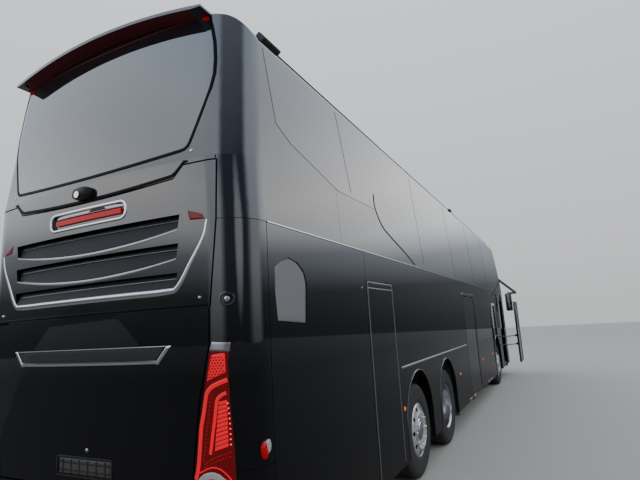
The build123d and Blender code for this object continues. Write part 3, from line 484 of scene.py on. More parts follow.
def film_mask(tree, given, place):
    """Mask of the film that the road throws up: thick at the ground, gone at Reach, and broken
    up by noise."""
    height = math_node(tree, "DIVIDE", split(tree, place)["Z"], given["Reach"], clamp=True)
    low = math_node(tree, "SUBTRACT", 1.0, height, clamp=True)
    noise = add_node(tree, "TexNoise", {"Detail": 5, "Roughness": 0.65, "Vector": place,
                                        "Scale": given["Patch"]})
    return math_node(tree, "MULTIPLY", low, noise.outputs[0], clamp=True)


def grain_height(tree, given, place):
    """Fine even noise plus a share, Coarse, of the same at about six times the size."""
    fine, coarse = (add_node(tree, "TexNoise", {
        "Detail": 2, "Vector": place,
        "Scale": math_node(tree, "MULTIPLY", given["Scale"], factor)}).outputs[0]
        for factor in (1.0, 0.17))
    return math_node(tree, "ADD", fine, math_node(tree, "MULTIPLY", coarse, given["Coarse"]))


def wire_mask(tree, given, place):
    """Mask of a woven wire screen: one minus the product of two sine waves, along the level and
    along the height, without their signs."""
    axes = split(tree, place)
    waves = []
    for value in (math_node(tree, "ADD", axes["X"], axes["Y"]), axes["Z"]):
        turn = math_node(tree, "DIVIDE", value, given["Pitch"])
        wave = math_node(tree, "SINE", math_node(tree, "MULTIPLY", turn, 2 * pi))
        waves.append(math_node(tree, "ABSOLUTE", wave))
    return math_node(tree, "SUBTRACT", 1.0, math_node(tree, "MULTIPLY", *waves), clamp=True)


def coat_share(tree, given, place):
    """Share of the coat left at each height: none below Low, where road dust dulls it, and the
    whole above High."""
    above = math_node(tree, "SUBTRACT", split(tree, place)["Z"], given["Low"])
    span = math_node(tree, "SUBTRACT", given["High"], given["Low"])
    return math_node(tree, "DIVIDE", above, span, clamp=True)


road_film = new_group("road_film", {"Reach": 1.2, "Patch": 3.0}, "Mask", film_mask)
fine_grain = new_group("fine_grain", {"Scale": 200.0, "Coarse": 0.4}, "Height", grain_height)
wire_screen = new_group("wire_screen", {"Pitch": 0.006}, "Mask", wire_mask)
gloss_fade = new_group("gloss_fade", {"Low": 1.2, "High": 2.1}, "Share", coat_share)


def placed_group(tree, group, **values):
    """One use of a node group with its own values; gives its output."""
    node = tree.nodes.new("ShaderNodeGroup")
    node.node_tree = group
    feed(tree, node, values)
    return node.outputs[0]


def set_shader(material, inputs):
    """Give a material's Principled shader its inputs."""
    feed(material.node_tree, material.node_tree.nodes["Principled BSDF"], inputs)


def finish(name, base, rough, metal=0.0, film=0.0, film_reach=1.2, film_patch=3.0,
           film_color=(0.23, 0.2, 0.165), grain=200.0, bump=0.05, bump_depth=0.0005, vary=0.25,
           ior=1.5):
    """A material: its colour and roughness vary a little with fine grain, road film lies over
    its low parts, and the grain is a faint bump."""
    material = bpy.data.materials.new(name)
    material.use_nodes = True
    tree = material.node_tree
    height = placed_group(tree, fine_grain, Scale=grain)
    color = blended(tree, height, [c * (1 - vary) for c in base],
                    [min(1, c * (1 + vary)) for c in base])
    roughness = ranged(tree, height, rough * 0.8, min(1, rough * 1.2))
    if film:
        mask = placed_group(tree, road_film, Reach=film_reach, Patch=film_patch)
        mask = math_node(tree, "MULTIPLY", mask, film, clamp=True)
        color = blended(tree, mask, color, film_color)
        roughness = math_node(tree, "ADD", roughness, math_node(tree, "MULTIPLY", mask, 0.5),
                              clamp=True)
    set_shader(material, {"Metallic": metal, "IOR": ior, "Coat Roughness": 0.02,
                          "Base Color": color, "Roughness": roughness})
    if bump:
        set_shader(material, {"Normal": bumped(tree, height, bump, bump_depth)})
    return material


def glass_finish(name, tint, see_through, ior=1.52):
    """Safety glass: part of the light goes through, tinted, and the rest is a dark ground."""
    material = finish(name, tint, 0.01, bump=0, vary=0.1, grain=3.0, ior=ior)
    set_shader(material, {"Transmission Weight": see_through})
    return material


def lamp_finish(name, tint, glow, see_through=0.0, rough=0.08):
    """Lamp plastic with a glow of its own. Where a reflector takes it, the glow is painted light.
    """
    material = finish(name, tint, rough, bump=0, vary=0.15, grain=30.0)
    set_shader(material, {"Emission Color": (*tint, 1), "Emission Strength": glow,
                          "Transmission Weight": see_through})
    return material


def fade_coat(material, coat_ior, low=1.2, high=2.1):
    """Give a material a hard coat that is whole high up and gone near the road."""
    share = placed_group(material.node_tree, gloss_fade, Low=low, High=high)
    set_shader(material, {"Coat Weight": share, "Coat IOR": coat_ior, "Coat Roughness": 0.015})


def screen_finish(name, wire, gap, pitch):
    """Woven wire over holes whose dark colour, gap, is painted shade: the screen's mask mixes the
    colours and is the bump.
    """
    material = finish(name, wire, 0.5, metal=0.3, bump=0)
    tree = material.node_tree
    mask = placed_group(tree, wire_screen, Pitch=pitch)
    set_shader(material, {"Base Color": blended(tree, mask, gap, wire),
                          "Normal": bumped(tree, mask, 0.6, 0.001)})
    return material


paint = finish("gloss_black_paint", (0.0045, 0.0045, 0.0055), 0.035, film=0.16, film_reach=0.9,
               film_color=(0.09, 0.08, 0.066), grain=900.0, bump=0.02, bump_depth=0.0002, ior=1.33)
fade_coat(paint, 2.1, low=1.5, high=2.2)
side_glass_finish = glass_finish("tinted_side_glass", (0.012, 0.014, 0.016), 0.22)
fade_coat(side_glass_finish, 2.0)
rear_glass_finish = glass_finish("tinted_rear_glass", (0.010, 0.013, 0.018), 0.2)
fade_coat(rear_glass_finish, 2.3)
screen_glass = glass_finish("windscreen_glass", (0.35, 0.42, 0.42), 0.9, ior=1.6)
door_glass = glass_finish("door_glass", (0.42, 0.55, 0.52), 0.9, ior=1.6)
rubber = finish("tyre_rubber", (0.020, 0.020, 0.021), 0.7, film=0.4, film_reach=1.4,
                film_patch=9.0, film_color=(0.11, 0.10, 0.09), grain=260.0, bump=0.25)
alloy = finish("polished_alloy", (0.82, 0.82, 0.83), 0.16, metal=1.0, film=0.4, film_reach=1.1,
               film_patch=14.0, film_color=(0.16, 0.14, 0.12), grain=120.0, bump=0.03, vary=0.06)
liner_bright = finish("wheel_liner", (0.86, 0.86, 0.87), 0.2, metal=0.78, film=0.15,
                      film_reach=1.0, grain=160.0, bump=0.02, vary=0.06)
steel = finish("nut_steel", (0.55, 0.55, 0.56), 0.3, metal=1.0, film=0.5, grain=300.0, vary=0.15)
chrome = finish("bright_trim", (0.78, 0.79, 0.81), 0.09, metal=1.0, grain=60.0, bump=0.01,
                vary=0.04)
nut_cover = finish("nut_covers", (0.88, 0.88, 0.89), 0.2, metal=0.45, grain=60.0, bump=0.01)
mirror_glass = finish("mirror_glass", (0.16, 0.17, 0.19), 0.03, metal=1.0, grain=10.0, bump=0.0)
satin = finish("satin_trim", (0.5, 0.51, 0.53), 0.28, metal=1.0, grain=400.0, vary=0.08)
dark_trim = finish("smoked_trim", (0.16, 0.165, 0.175), 0.2, metal=1.0, grain=400.0, vary=0.08)
cast_iron = finish("axle_castings", (0.05, 0.05, 0.05), 0.6, metal=0.3, film=0.9, film_reach=1.5,
                   grain=150.0, bump=0.3, vary=0.4)
tube_steel = finish("door_arm_steel", (0.5, 0.5, 0.51), 0.32, metal=1.0, grain=500.0, vary=0.08)
underbody = finish("underbody_coating", (0.03, 0.03, 0.03), 0.75, film=1.0, film_reach=1.7,
                   grain=90.0, bump=0.4, vary=0.4)
vinyl = finish("floor_vinyl", (0.09, 0.09, 0.1), 0.5, grain=500.0, bump=0.15, vary=0.5)
panel = finish("bulkhead_panel", (0.16, 0.16, 0.165), 0.45, grain=240.0, bump=0.1)
cab_plastic = finish("cab_moulding", (0.028, 0.028, 0.03), 0.5, grain=700.0, bump=0.3)
engine_iron = finish("engine_casting", (0.12, 0.12, 0.125), 0.5, metal=0.5, film=0.6, grain=110.0,
                     bump=0.35, vary=0.35)
black_plastic = finish("black_moulding", (0.012, 0.012, 0.013), 0.38, grain=600.0, bump=0.2)
seal_rubber = finish("seal_rubber", (0.003, 0.003, 0.003), 0.4, grain=400.0, bump=0.1, ior=1.2)
# The screens' dark gap colours are painted shade in their holes.
intake_screen = screen_finish("intake_screen", (0.30, 0.31, 0.33), (0.07, 0.07, 0.075), 0.007)
louvre_screen = screen_finish("louvre_screen", (0.035, 0.036, 0.04), (0.004, 0.004, 0.004), 0.009)
maroon = finish("brim_lining", (0.075, 0.006, 0.010), 0.3, grain=300.0, bump=0.1)
red_lens = lamp_finish("red_lens", (0.34, 0.0, 0.004), 0.16)
red_glow = lamp_finish("red_light_guide", (0.70, 0.0, 0.012), 0.42, rough=0.3)
bead_glow = lamp_finish("lamp_beads", (1.0, 0.10, 0.10), 1.2, rough=0.3)
brake_red = lamp_finish("brake_lens", (0.40, 0.002, 0.008), 0.25, rough=0.3)
# deep_red glows as the tail lamps do, and as a painted glow on the red reflectors, which are no
# lamps.
deep_red = lamp_finish("deep_red_lens", (0.13, 0.0005, 0.001), 0.10)
clear_lens = lamp_finish("clear_lens", (0.75, 0.78, 0.8), 0.0, see_through=0.6, rough=0.06)
amber_lens = lamp_finish("amber_lens", (0.8, 0.2, 0.015), 0.25)
cloth = finish("seat_cloth", (0.05, 0.052, 0.06), 0.85, grain=900.0, bump=0.5, vary=0.45)
plate_grey = finish("blank_plate", (0.035, 0.035, 0.037), 0.3, film=0.3, film_reach=2.0,
                    grain=80.0)

# Finishes by slot. A CAD node has the first of its slot, or its own from node_finish.
slot_finishes = {
    "body_paint": [paint], "dark_glass": [side_glass_finish], "tyre": [rubber],
    "wheel_metal": [alloy, liner_bright, steel, chrome, nut_cover, mirror_glass, satin,
                    dark_trim],
    "axle_iron": [cast_iron], "arm_steel": [tube_steel], "chassis_paint": [underbody],
    "floor_cover": [vinyl], "bulkhead_panel": [panel], "seat_cloth": [cloth],
    "cab_plastic": [cab_plastic, black_plastic, seal_rubber, intake_screen, louvre_screen,
                    plate_grey],
    "engine_metal": [engine_iron], "clear_lamp": [clear_lens],
    "red_lamp": [red_lens, red_glow, bead_glow, deep_red, maroon, amber_lens],
}
node_finish = {"rear_window": rear_glass_finish, "windscreens": screen_glass,
               "front_door_glass": door_glass, "brake_lamp": brake_red,
               "tail_lamps": deep_red}
for part in frame["record"]["subparts"]:
    dressed = frame["nodes"][part["node"]].data.materials
    dressed.clear()
    dressed.append(node_finish.get(part["node"], slot_finishes[part["material_slot"]][0]))

# Wheels

tread_steps = 240
groove_places = (-0.066, -0.033, 0.0, 0.033, 0.066)
groove_half = 0.0045
groove_depth = 0.011
tread_crown = 0.3  # fall of the tread's radius, times the distance across squared
zigzag = 0.0035
zigzag_turns = 60
shoulder_slot_depth = 0.006
shoulder_slot_step = 4
shoulder_from = (0.505, 0.085)  # radius and distance across beyond which the slots are cut
side_wall = [(0.287, 0.108), (0.298, 0.128), (0.312, 0.134), (0.318, 0.1385), (0.33, 0.139),
             (0.345, 0.1415), (0.352, 0.1435), (0.36, 0.1415), (0.40, 0.1445), (0.43, 0.143),
             (0.452, 0.139), (0.456, 0.1405), (0.466, 0.137), (0.483, 0.129), (0.499, 0.118),
             (0.5075, 0.108), (0.511, 0.100), (0.5125, 0.090)]


def tyre_shape(centre, sign):
    """A tyre: its section, a radius against a distance across, is turned about the axle. On the
    tread, five round grooves go in by groove_depth and wander by a triangle wave of zigzag, and
    one step in every shoulder_slot_step of the shoulders is let in to make slots."""
    wall_r, wall_d = np.array(side_wall).T
    across = np.add.outer(groove_places, groove_half * np.array([-1.0, -0.6, 0.6, 1.0])).ravel()
    plain = 0 * wall_r
    d = np.concatenate([-wall_d, across, wall_d[::-1]])
    r = np.concatenate([wall_r, wheel_r - tread_crown * across ** 2, wall_r[::-1]])
    grooved = np.concatenate([plain, np.tile([0.0, 1.0, 1.0, 0.0], len(groove_places)), plain])
    on_tread = np.concatenate([plain, 0 * across + 1, plain])
    turn = full_turn(tread_steps)[:, None]
    wave = np.abs((turn * zigzag_turns / (2 * pi)) % 1 - 0.5) * 4 - 1
    slotted = np.arange(tread_steps)[:, None] % shoulder_slot_step == 0
    shoulder = (r > shoulder_from[0]) & (np.abs(d) > shoulder_from[1]) & slotted
    points = about_axis(centre, sign, r - groove_depth * grooved - shoulder_slot_depth * shoulder,
                        d + zigzag * wave * on_tread, turn)
    faces = grid_faces(tread_steps, len(d), wrap_rows=True)
    bead_r, bead_d = side_wall[0]
    inner_ring = turned([(bead_r, bead_d), (bead_r, -bead_d)], centre, sign, tread_steps)
    return joined([(points.reshape(-1, 3), [face[::sign] for face in faces]), inner_ring])


nut_profile = [(0.0, 0.034), (0.009, 0.034), (0.0115, 0.030), (0.0115, 0.021), (0.0165, 0.019),
               (0.0165, 0.004), (0.021, 0.003), (0.021, -0.002), (0.0, -0.002)]


def nut_ring(centre, sign, face_y, ring_r=0.1675, size=1.0, count=10):
    """Wheel nuts: each a turned nut with a collar, on a circle about the axle."""
    return joined([turned(size * np.array(nut_profile),
                          (centre[0] + ring_r * cos(turn), face_y, centre[2] + ring_r * sin(turn)),
                          sign, steps=12) for turn in full_turn(count)])


liner_line = [(0.286, 0.116), (0.280, 0.127), (0.268, 0.133), (0.216, 0.147), (0.205, 0.149),
              (0.150, 0.149), (0.140, 0.146), (0.118, 0.136), (0.080, 0.134)]
liner_t = 0.0025
liner_shade_disc = (0.27, 0.107)  # radius and depth of the black disc behind the liner, which is painted shade in the hand holes
guard_size = (0.206, 0.155, 0.0055)  # radius and depth of the ring, and radius of its tube
single_nuts = (0.186, 0.72)  # radius of their ring, and size beside the drive wheels' nuts
liner_range = (0.080, 0.286)
hand_hole = (0.243, 0.024)  # radius of the holes' circle and of a hole
hand_hole_band = (0.210, 0.276)
hand_holes = 10


def liner_shape(centre, sign):
    """Bright convex liner of a single wheel. The band of the hand holes is ten patches, each a
    ring between a round hole and the patch's four-sided edge, mapped to angle and radius; inner
    and outer bands are plain turned rings."""
    half = pi / hand_holes
    (hole_r, hole_size), (low, high) = hand_hole, hand_hole_band
    turn = full_turn(40)
    way = spread(np.cos(turn), np.sin(turn))
    reach = np.minimum(half * hole_r / np.maximum(np.abs(way[:, 0]), 1e-9),
                       np.where(way[:, 1] > 0, high - hole_r, hole_r - low)
                       / np.maximum(np.abs(way[:, 1]), 1e-9))
    length = hole_size + (reach - hole_size) * np.linspace(0, 1, 6)[:, None]
    flat = length[..., None] * way
    shapes = [liner_slab(centre, sign, 2 * half * i + flat[..., 0] / hole_r, hole_r + flat[..., 1])
              for i in range(hand_holes)]
    inner, outer = liner_range
    for radii in (np.linspace(inner, low, 16), np.linspace(high, outer, 5)):
        shapes.append(liner_slab(centre, sign, *np.meshgrid(full_turn(80), radii)))
    return joined(shapes)


def liner_slab(centre, sign, angle, radius):
    """A closed thin ring, liner_t thick, of grid points given by angle and radius. Its depth
    runs through liner_line by radius."""
    depth = np.interp(radius, *np.array(liner_line)[::-1].T)
    flat = about_axis(centre, sign, radius, depth, angle)
    ring = np.concatenate([flat, (flat - (0, sign * liner_t, 0))[::-1]])
    faces = grid_faces(len(ring), radius.shape[1], wrap_rows=True, wrap_columns=True)
    return ring.reshape(-1, 3), faces


def guard_ring(centre, sign, ring_r, depth, tube_r):
    """A round tube bent to a circle about the axle."""
    line = about_axis(centre, sign, ring_r, depth, full_turn(64))
    return carried(line, (0, sign, 0), round_profile(tube_r, 10), closed=True)


# Distances of the nuts' feet and of the caps from the outer wheel's middle
hub_faces = {"front": 0.148, "tag": 0.148, "drive": 0.015 - twin_pitch / 2}
cap_profile = [(0.0, 0.012), (0.05, 0.011), (0.075, 0.008), (0.088, 0.0), (0.09, -0.006),
               (0.0, -0.006)]
cap_faces = {"front": 0.15, "tag": 0.15, "drive": 0.15 - twin_pitch / 2}


def add_wheels():
    """Treaded tyres in place of the plain ones, nuts and hub caps, and the single wheels'
    liners."""
    for (axle, s), (side, sign) in product(axle_s.items(), sides.items()):
        single = axle != "drive"
        name, body = f"{axle}_{side}", f"{axle}_wheel_{side}"
        x, y, z = outer = (at(s), sign * wheel_y, wheel_r)
        centres = [outer] if single else [outer, (x, sign * (wheel_y - twin_pitch), z)]
        tyre = add_piece(f"{name}_treaded_tyre", joined([tyre_shape(c, sign) for c in centres]),
                         rubber, body, sharp=35)
        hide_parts(f"{name}_tyre")
        face = sign * (wheel_y + hub_faces[axle])
        if single:
            liner = joined([liner_shape(outer, sign), guard_ring(outer, sign, *guard_size)])
            add_piece(f"{name}_wheel_liner", liner, liner_bright, body)
            # The disc behind a liner is painted shade: it darkens what the hand holes and the
            # liner's edge show.
            shade_disc_r, shade_disc_depth = liner_shade_disc
            back = turned([(0.0, 0.0), (shade_disc_r, 0.0), (shade_disc_r, -0.002), (0.0, -0.002)],
                          (x, y + sign * shade_disc_depth, z), sign)
            add_piece(f"{name}_liner_shade_disc", back, black_plastic, body)
            add_piece(f"{name}_wheel_nuts", nut_ring(outer, sign, face, *single_nuts), nut_cover,
                      body, sharp=25)
        else:
            add_piece(f"{name}_wheel_nuts", nut_ring(outer, sign, face), steel, body, sharp=25)
        cap = turned(cap_profile, (x, y + sign * cap_faces[axle], z), sign)
        add_piece(f"{name}_hub_cap", cap, alloy, body)


add_wheels()

# Tail

# Louvres: each one's top, half its length, and its foot's height at the ends and in the middle
louvre_slots = ((2.500, 0.83, 2.415, 2.343), (2.318, 0.82, 2.233, 2.161),
                (2.135, 0.812, 2.045, 2.045))
slot_depth = 0.044


def louvre_shapes():
    """Broad smile-shaped lips below the louvres, a thin line under each top edge, and screens
    that follow the ramps: their depth grows with their height, from the lip to the top."""
    lips, lines, screens = [], [], []
    for top, half, foot_end, foot_mid in louvre_slots:
        y = np.linspace(-half + 0.018, half - 0.018, 49)
        z = foot_mid + (foot_end - foot_mid) * (y / half) ** 2
        places, outward = on_tail(y, z - 0.009)
        size = np.interp(np.abs(y), [0, 0.5 * half, half], [1.0, 0.9, 0.35])
        if foot_mid != foot_end:
            lips.append(carried(places, outward, strip_profile(0.022, 0.003), scale=size))
        places, outward = on_tail(y, top - 0.034)
        lines.append(carried(places - 0.026 * outward, outward, round_profile(0.0032, 8)))
        z_grid = z + 0.006 + (top - z) * np.linspace(0.0, 0.86, 7)[:, None]
        base, _ = on_tail(y, z_grid)
        depth = slot_depth * (z_grid - foot_mid) / (top - foot_mid) - 0.0035
        face = base + spread(depth, 0, 0)
        screens.append(slab_between(face, face + (0.003, 0, 0)))
    return joined(lips), joined(lines), joined(screens)


def mirrored_route(left, middle):
    """A line on the tail, run from the coach's right to its left: left is its left-hand part,
    and middle lies between that and its mirror image."""
    return np.concatenate([(left * (-1, 1))[::-1], middle, left])


def tail_arc(half, low, rise, full_half):
    """A parabola on the tail from -half to half: low in its middle, rise higher at full_half."""
    y = np.linspace(-half, half, 41)
    return spread(y, low + rise * (y / full_half) ** 2)


def upper_flap_line():
    """The broad bright line along the foot of the upper flap and up towards the belt."""
    half = smooth_path([(0.0, 2.022), (0.4, 2.022), (0.725, 2.024), (0.813, 2.048),
                        (0.911, 2.192), (1.0, 2.335), (1.03, 2.44)])
    route = mirrored_route(half[1:], half[:1])
    width = np.interp(np.abs(route[:, 0]), [0.7, 0.85, 1.03], [1.0, 0.75, 0.45])
    return strip("tail", route, 0.038, 0.006, pitch=None, scale=width)


def level_pad(low_edge, high_edge, *heights, **cells):
    """A pad on the tail between two level edges about its middle, each given by half its length
    and its height."""
    edges = ([(-half, z), (half, z)] for half, z in (low_edge, high_edge))
    return pad("tail", *edges, *heights, **cells)


def add_upper_flap():
    """Louvres, bright line, brake lamp's surround, studs and red wedges of the upper flap."""
    wedge = pad("tail", [(0.885, 2.520), (0.905, 2.452)], [(1.0, 2.480), (1.02, 2.446)],
                -0.002, 0.003)
    lips, lines, screens = louvre_shapes()
    add_pieces([
        ("louvre_lips", lips, satin),
        ("louvre_lines", lines, satin),
        ("louvre_screens", screens, louvre_screen),
        ("upper_flap_bright_line", upper_flap_line(), chrome),
        ("brake_lamp_surround",
         strip("tail", rounded_loop((-0.386, 0.386), (2.545, 2.664), 0.05), 0.024, 0.007,
               out=-0.001, closed=True), chrome),
        ("brake_lamp_shelf",
         level_pad((0.36, 2.626), (0.35, 2.656), -0.019, -0.004, rows=25), satin),
        ("brake_lamp_lock_slot",
         pad("tail", [(-0.2, 2.634), (-0.02, 2.634)], [(-0.18, 2.65), (-0.04, 2.65)],
             -0.006, -0.001), black_plastic),
        # The red wedges are reflectors: deep_red's glow on them is painted light.
        ("upper_flap_reflectors", both_sides(wedge), deep_red),
        ("upper_flap_studs", studs("tail", [(-0.974, 1.973), (0.974, 1.973)], 0.011, 0.012),
         chrome)], "upper_rear_flap")


def add_flap_seals():
    """Black seals: one on the shell along the top of the upper flap's opening, in an arc over
    its middle, and one on the flap's own foot."""
    left = np.array([(0.80, 2.778), (0.862, 2.837), (1.092, 2.837)])
    route = mirrored_route(left, tail_arc(0.765, 2.723, 0.036, 0.765))
    over = strip("tail", route, 0.024, 0.002, pitch=None)
    add_piece("upper_flap_opening_seal", over, seal_rubber)
    foot = strip("tail", [(-1.028, 1.929), (1.028, 1.929)], 0.020, 0.0015)
    add_piece("upper_flap_foot_seal", foot, seal_rubber, "upper_rear_flap")


def add_lower_flap():
    """The grille's bright frame and mesh, the handle and the blank plate in its holder."""
    foot = strip("tail", smooth_path([(-0.655, 1.607), (-0.3, 1.604), (0.3, 1.604),
                                      (0.655, 1.607)], 5), 0.026, 0.006)
    leg = pad("tail", [(0.640, 1.594), (0.735, 1.702)], [(0.668, 1.590), (0.768, 1.702)],
              -0.002, 0.005)
    head = strip("tail", [(-0.73, 1.698), (0.73, 1.698)], 0.007, 0.003)
    ribs = [strip("tail", [(y, 0.912), (y, 0.998)], 0.012, 0.004)
            for y in (-0.20, -0.12, -0.04, 0.04, 0.12, 0.20)]
    ribs += [strip("tail", [(-0.24, z), (0.24, z)], 0.010, 0.004) for z in (0.932, 0.978)]
    add_pieces([
        ("grille_bright_frame", joined([foot, both_sides(leg), head]), chrome),
        ("grille_mesh",
         level_pad((0.652, 1.615), (0.722, 1.692), -0.001, 0.002, rows=41), louvre_screen),
        ("plate_holder_ribs", joined(ribs), black_plastic),
        ("flap_handle", studs("tail", [(-0.03, 1.062)], 0.014, 0.008), satin),
        ("blank_rear_plate",
         level_pad((0.252, 0.906), (0.252, 1.004), -0.005, 0.001, rows=21), plate_grey),
        ("plate_frame",
         strip("tail", rounded_loop((-0.262, 0.262), (0.897, 1.013), 0.012), 0.014, 0.006,
               closed=True), black_plastic)], "lower_rear_flap")


# Lines of the left tail lamp, which both_sides mirrors
outer_guide_line = [(1.136, 1.497), (1.09, 1.480), (1.047, 1.460), (1.016, 1.428),
                    (1.004, 1.382), (0.994, 1.326), (0.976, 1.244), (0.968, 1.162),
                    (0.960, 1.081), (0.952, 1.020), (0.936, 0.965)]
inner_guide_line = [(1.129, 1.427), (1.1, 1.412), (1.078, 1.387), (1.07, 1.338), (1.061, 1.272),
                    (1.052, 1.218), (1.042, 1.153), (1.033, 1.100)]
lens_edge_line = [(0.955, 0.972), (0.993, 1.001), (1.046, 1.013), (1.082, 1.004),
                  (1.119, 0.973), (1.150, 0.935)]
bead_line = [(1.046, 1.420), (1.032, 1.354), (1.020, 1.266), (1.005, 1.163), (0.991, 1.071)]
edge_dot_line = [(1.134, 1.370), (1.140, 1.326), (1.145, 1.239), (1.146, 1.150)]
step_line = [(1.143, 1.108), (1.06, 1.082), (1.0, 1.048)]


def beads(line, count, radius):
    """Studs spread evenly along a line on the tail, on both sides."""
    return both_sides(studs("tail", along(line, np.linspace(0, 1, count)), radius, 0.6 * radius,
                            steps=8, rings=2))


def add_tail_lamps():
    """Inside of the tail lamps: two bent light guides, a ribbed red field with bright dots on
    its edge, rows of small beads, a clear lens below an arc, and a bright cap on top."""
    arc_line = [(0.962, 1.0), (1.02, 1.026), (1.058, 1.033), (1.095, 1.021), (1.129, 0.990),
                (1.153, 0.955)]
    guides = [strip("tail", smooth_path(line, 6), width, height) for line, width, height in (
        (outer_guide_line, 0.026, 0.0035), (inner_guide_line, 0.021, 0.003),
        (arc_line, 0.009, 0.003))]
    guides.append(pad("tail", [(1.010, 1.486), (1.045, 1.642)],
                      [(1.131, 1.537), (1.127, 1.650)]))
    for low in np.linspace(0.01, 0.91, 11):
        shares = np.array([low, low + 0.084])
        guides.append(pad("tail", along([(1.058, 1.112), (1.087, 1.382)], shares),
                          along([(1.138, 1.138), (1.133, 1.392)], shares), -0.002, 0.0025,
                          rows=7))
    cells = []
    for row, z in enumerate(np.arange(1.50, 1.645, 0.0155)):
        y = np.arange(1.015, 1.14, 0.018) + 0.009 * (row % 2)
        low = np.interp(z, [1.486, 1.642], [1.014, 1.048])
        high = np.interp(z, [1.537, 1.65], [1.131, 1.127]) - 0.008
        y = y[(y > low) & (y < high) & (z < 1.637) & (z > 1.485 + 0.44 * (y - 1.008))]
        if len(y):
            cells.append(studs("tail", spread(y, z), 0.0065, 0.003, out=0.0015, steps=6,
                               rings=2))
    rows = [beads(bead_line, 17, 0.0055), beads(step_line, 11, 0.006),
            beads(np.array(step_line) - (0.004, 0.022), 10, 0.005)]
    lens = pad("tail", lens_edge_line, [(0.935, 0.905), (1.160, 0.905)], -0.002, 0.004, rows=15)
    centre = studs("tail", [(1.045, 0.948)], 0.03, 0.008, out=0.002, steps=20)
    cap = pad("tail", [(1.032, 1.660), (1.050, 1.714)], [(1.150, 1.652), (1.156, 1.704)],
              -0.002, 0.007)
    add_pieces([
        ("lamp_light_guides", joined([both_sides(guide) for guide in guides]), red_glow),
        ("lamp_upper_cells", both_sides(joined(cells)), red_lens),
        ("lamp_red_beads", joined(rows), red_lens),
        ("lamp_edge_dots", beads(edge_dot_line, 9, 0.005), bead_glow),
        ("lamp_clear_lenses", both_sides(lens), clear_lens),
        ("lamp_lens_centres", both_sides(centre), red_lens),
        ("lamp_caps", both_sides(cap), satin)])


window_side = [(0.898, 2.965), (0.943, 3.08), (0.987, 3.20), (1.030, 3.33), (1.049, 3.437),
               (1.048, 3.55), (1.036, 3.68), (1.012, 3.80), (0.985, 3.895)]
brim_foot_z = 3.905
corner_lock = (-1.141, 1.955)


def add_tail_shell():
    """Window seal and studs, the lining and small lamps under the brim, the camera, the round
    lock and the marker lamps at the corners."""
    left = np.array([(0.862, 2.926), (0.884, 2.942)] + window_side)
    route = mirrored_route(left, tail_arc(0.835, 2.888, 0.036, 0.88))
    seal = strip("tail", route, 0.026, 0.003, pitch=None)

    y = np.linspace(-0.98, 0.98, 61)
    edge = tail_depth(y, belt_z)
    depth = edge + 0.004 + np.linspace(0.04, 0.96, 5)[:, None] * (tail_depth(y, 3.90) - edge)
    under, _ = cast(["rear_shell"], spread(at(depth), y, brim_foot_z), (0, 0, 1))
    lamp = pad("tail", [(0.93, 3.880), (0.985, 3.872)], [(0.93, 3.900), (0.98, 3.895)],
               -0.002, 0.012)

    (eye,), _ = on_tail([0.02], [2.775])
    lens = carried([eye + (-0.050, 0, -0.012), eye + (-0.066, 0, -0.018)], (0, 0, 1),
                   round_profile(0.024, 20))
    marker = cushion((at(0.25), -1.262, 1.090), (0.034, 0.017, 0.050), edge=0.9)
    back = cushion((at(0.275), -1.267, 1.105), (0.030, 0.015, 0.040), edge=0.9)
    add_pieces([
        ("window_seal", seal, seal_rubber),
        ("window_studs", studs("tail", [(-0.915, 2.905), (0.915, 2.905)], 0.013, 0.006),
         chrome),
        ("brim_lining", slab_between(under + (0, 0, 0.002), under - (0, 0, 0.003)), maroon),
        ("brim_band",
         level_pad((0.975, brim_foot_z), (0.97, 3.925), -0.002, 0.003, rows=41), maroon),
        ("brim_lamps", both_sides(lamp), red_lens),
        ("rear_camera_housing",
         cushion(eye - (0.012, 0, 0), (0.05, 0.085, 0.045), edge=0.7), black_plastic),
        ("rear_camera_lens", lens, chrome),
        ("corner_lock_ring",
         strip("tail", circle(*corner_lock, 0.036), 0.014, 0.008, closed=True, pitch=0.02),
         dark_trim),
        ("corner_lock", studs("tail", [corner_lock], 0.017, 0.006), chrome),
        ("corner_markers", both_sides(marker), red_lens),
        ("corner_marker_backs", both_sides(back), clear_lens)])


add_upper_flap()
add_flap_seals()
add_lower_flap()
add_tail_lamps()
add_tail_shell()

# Sides

intake_rear = [(0.434, 1.815), (0.413, 1.976), (0.416, 2.155), (0.497, 2.199), (0.600, 2.228)]
intake_front = [(0.800, 1.794), (0.829, 2.072), (0.796, 2.148), (0.708, 2.206), (0.606, 2.228)]
sweep_line = [(2.5, 3.12), (2.5, 2.97), (2.66, 2.80), (2.95, 2.705), (3.4, 2.59), (3.8, 2.47)]
pane_seams = (((1.67, 3.74), (1.86, 2.98)), ((4.1, 3.74), (4.3, 2.5)), ((6.2, 3.74), (6.5, 2.5)),
              ((8.3, 3.74), (8.6, 2.5)), ((10.4, 3.74), (10.7, 2.5)))
wall_pitch = 0.25  # longest cell of a straight strip along the wall
arch_steps = 33
beside_y, above_roof_z, ahead_s = 1.6, 4.4, 15.2  # where lines are cast from
roof_rail = (0.69, 12.4, 0.32, 3.802)  # start, end and step along the coach, and height
marker_z = 0.854
reflector_z = 0.348
locker_bars_z = (2.148, 2.092)


def arch_line(axle, side, gap, width, height, turn, legs=False, scale=None):
    """A bright line round a wheel arch, carried on the wall, over a range of the half circle and
    with legs also straight down to the skirt's foot."""
    if legs:
        turn = turn[[0, *range(len(turn)), -1]]
    radius = arch_r[axle] + gap
    s, z = axle_s[axle] + radius * np.cos(turn), arch_centre_z + radius * np.sin(turn)
    if legs:
        z[[0, -1]] = skirt_z + 0.01
    return carried(*on_side(s, z, side), strip_profile(width, height), scale=scale)


def on_roof_edge(s, z, side):
    """Places on the roof's rounded edge, met by level lines from beside the coach."""
    nodes = ["roof", "rear_shell", "side_glass", "right_upper_wall", "left_upper_wall"]
    return cast(nodes, spread(at(s), sides[side] * beside_y, z), (0, -sides[side], 0))


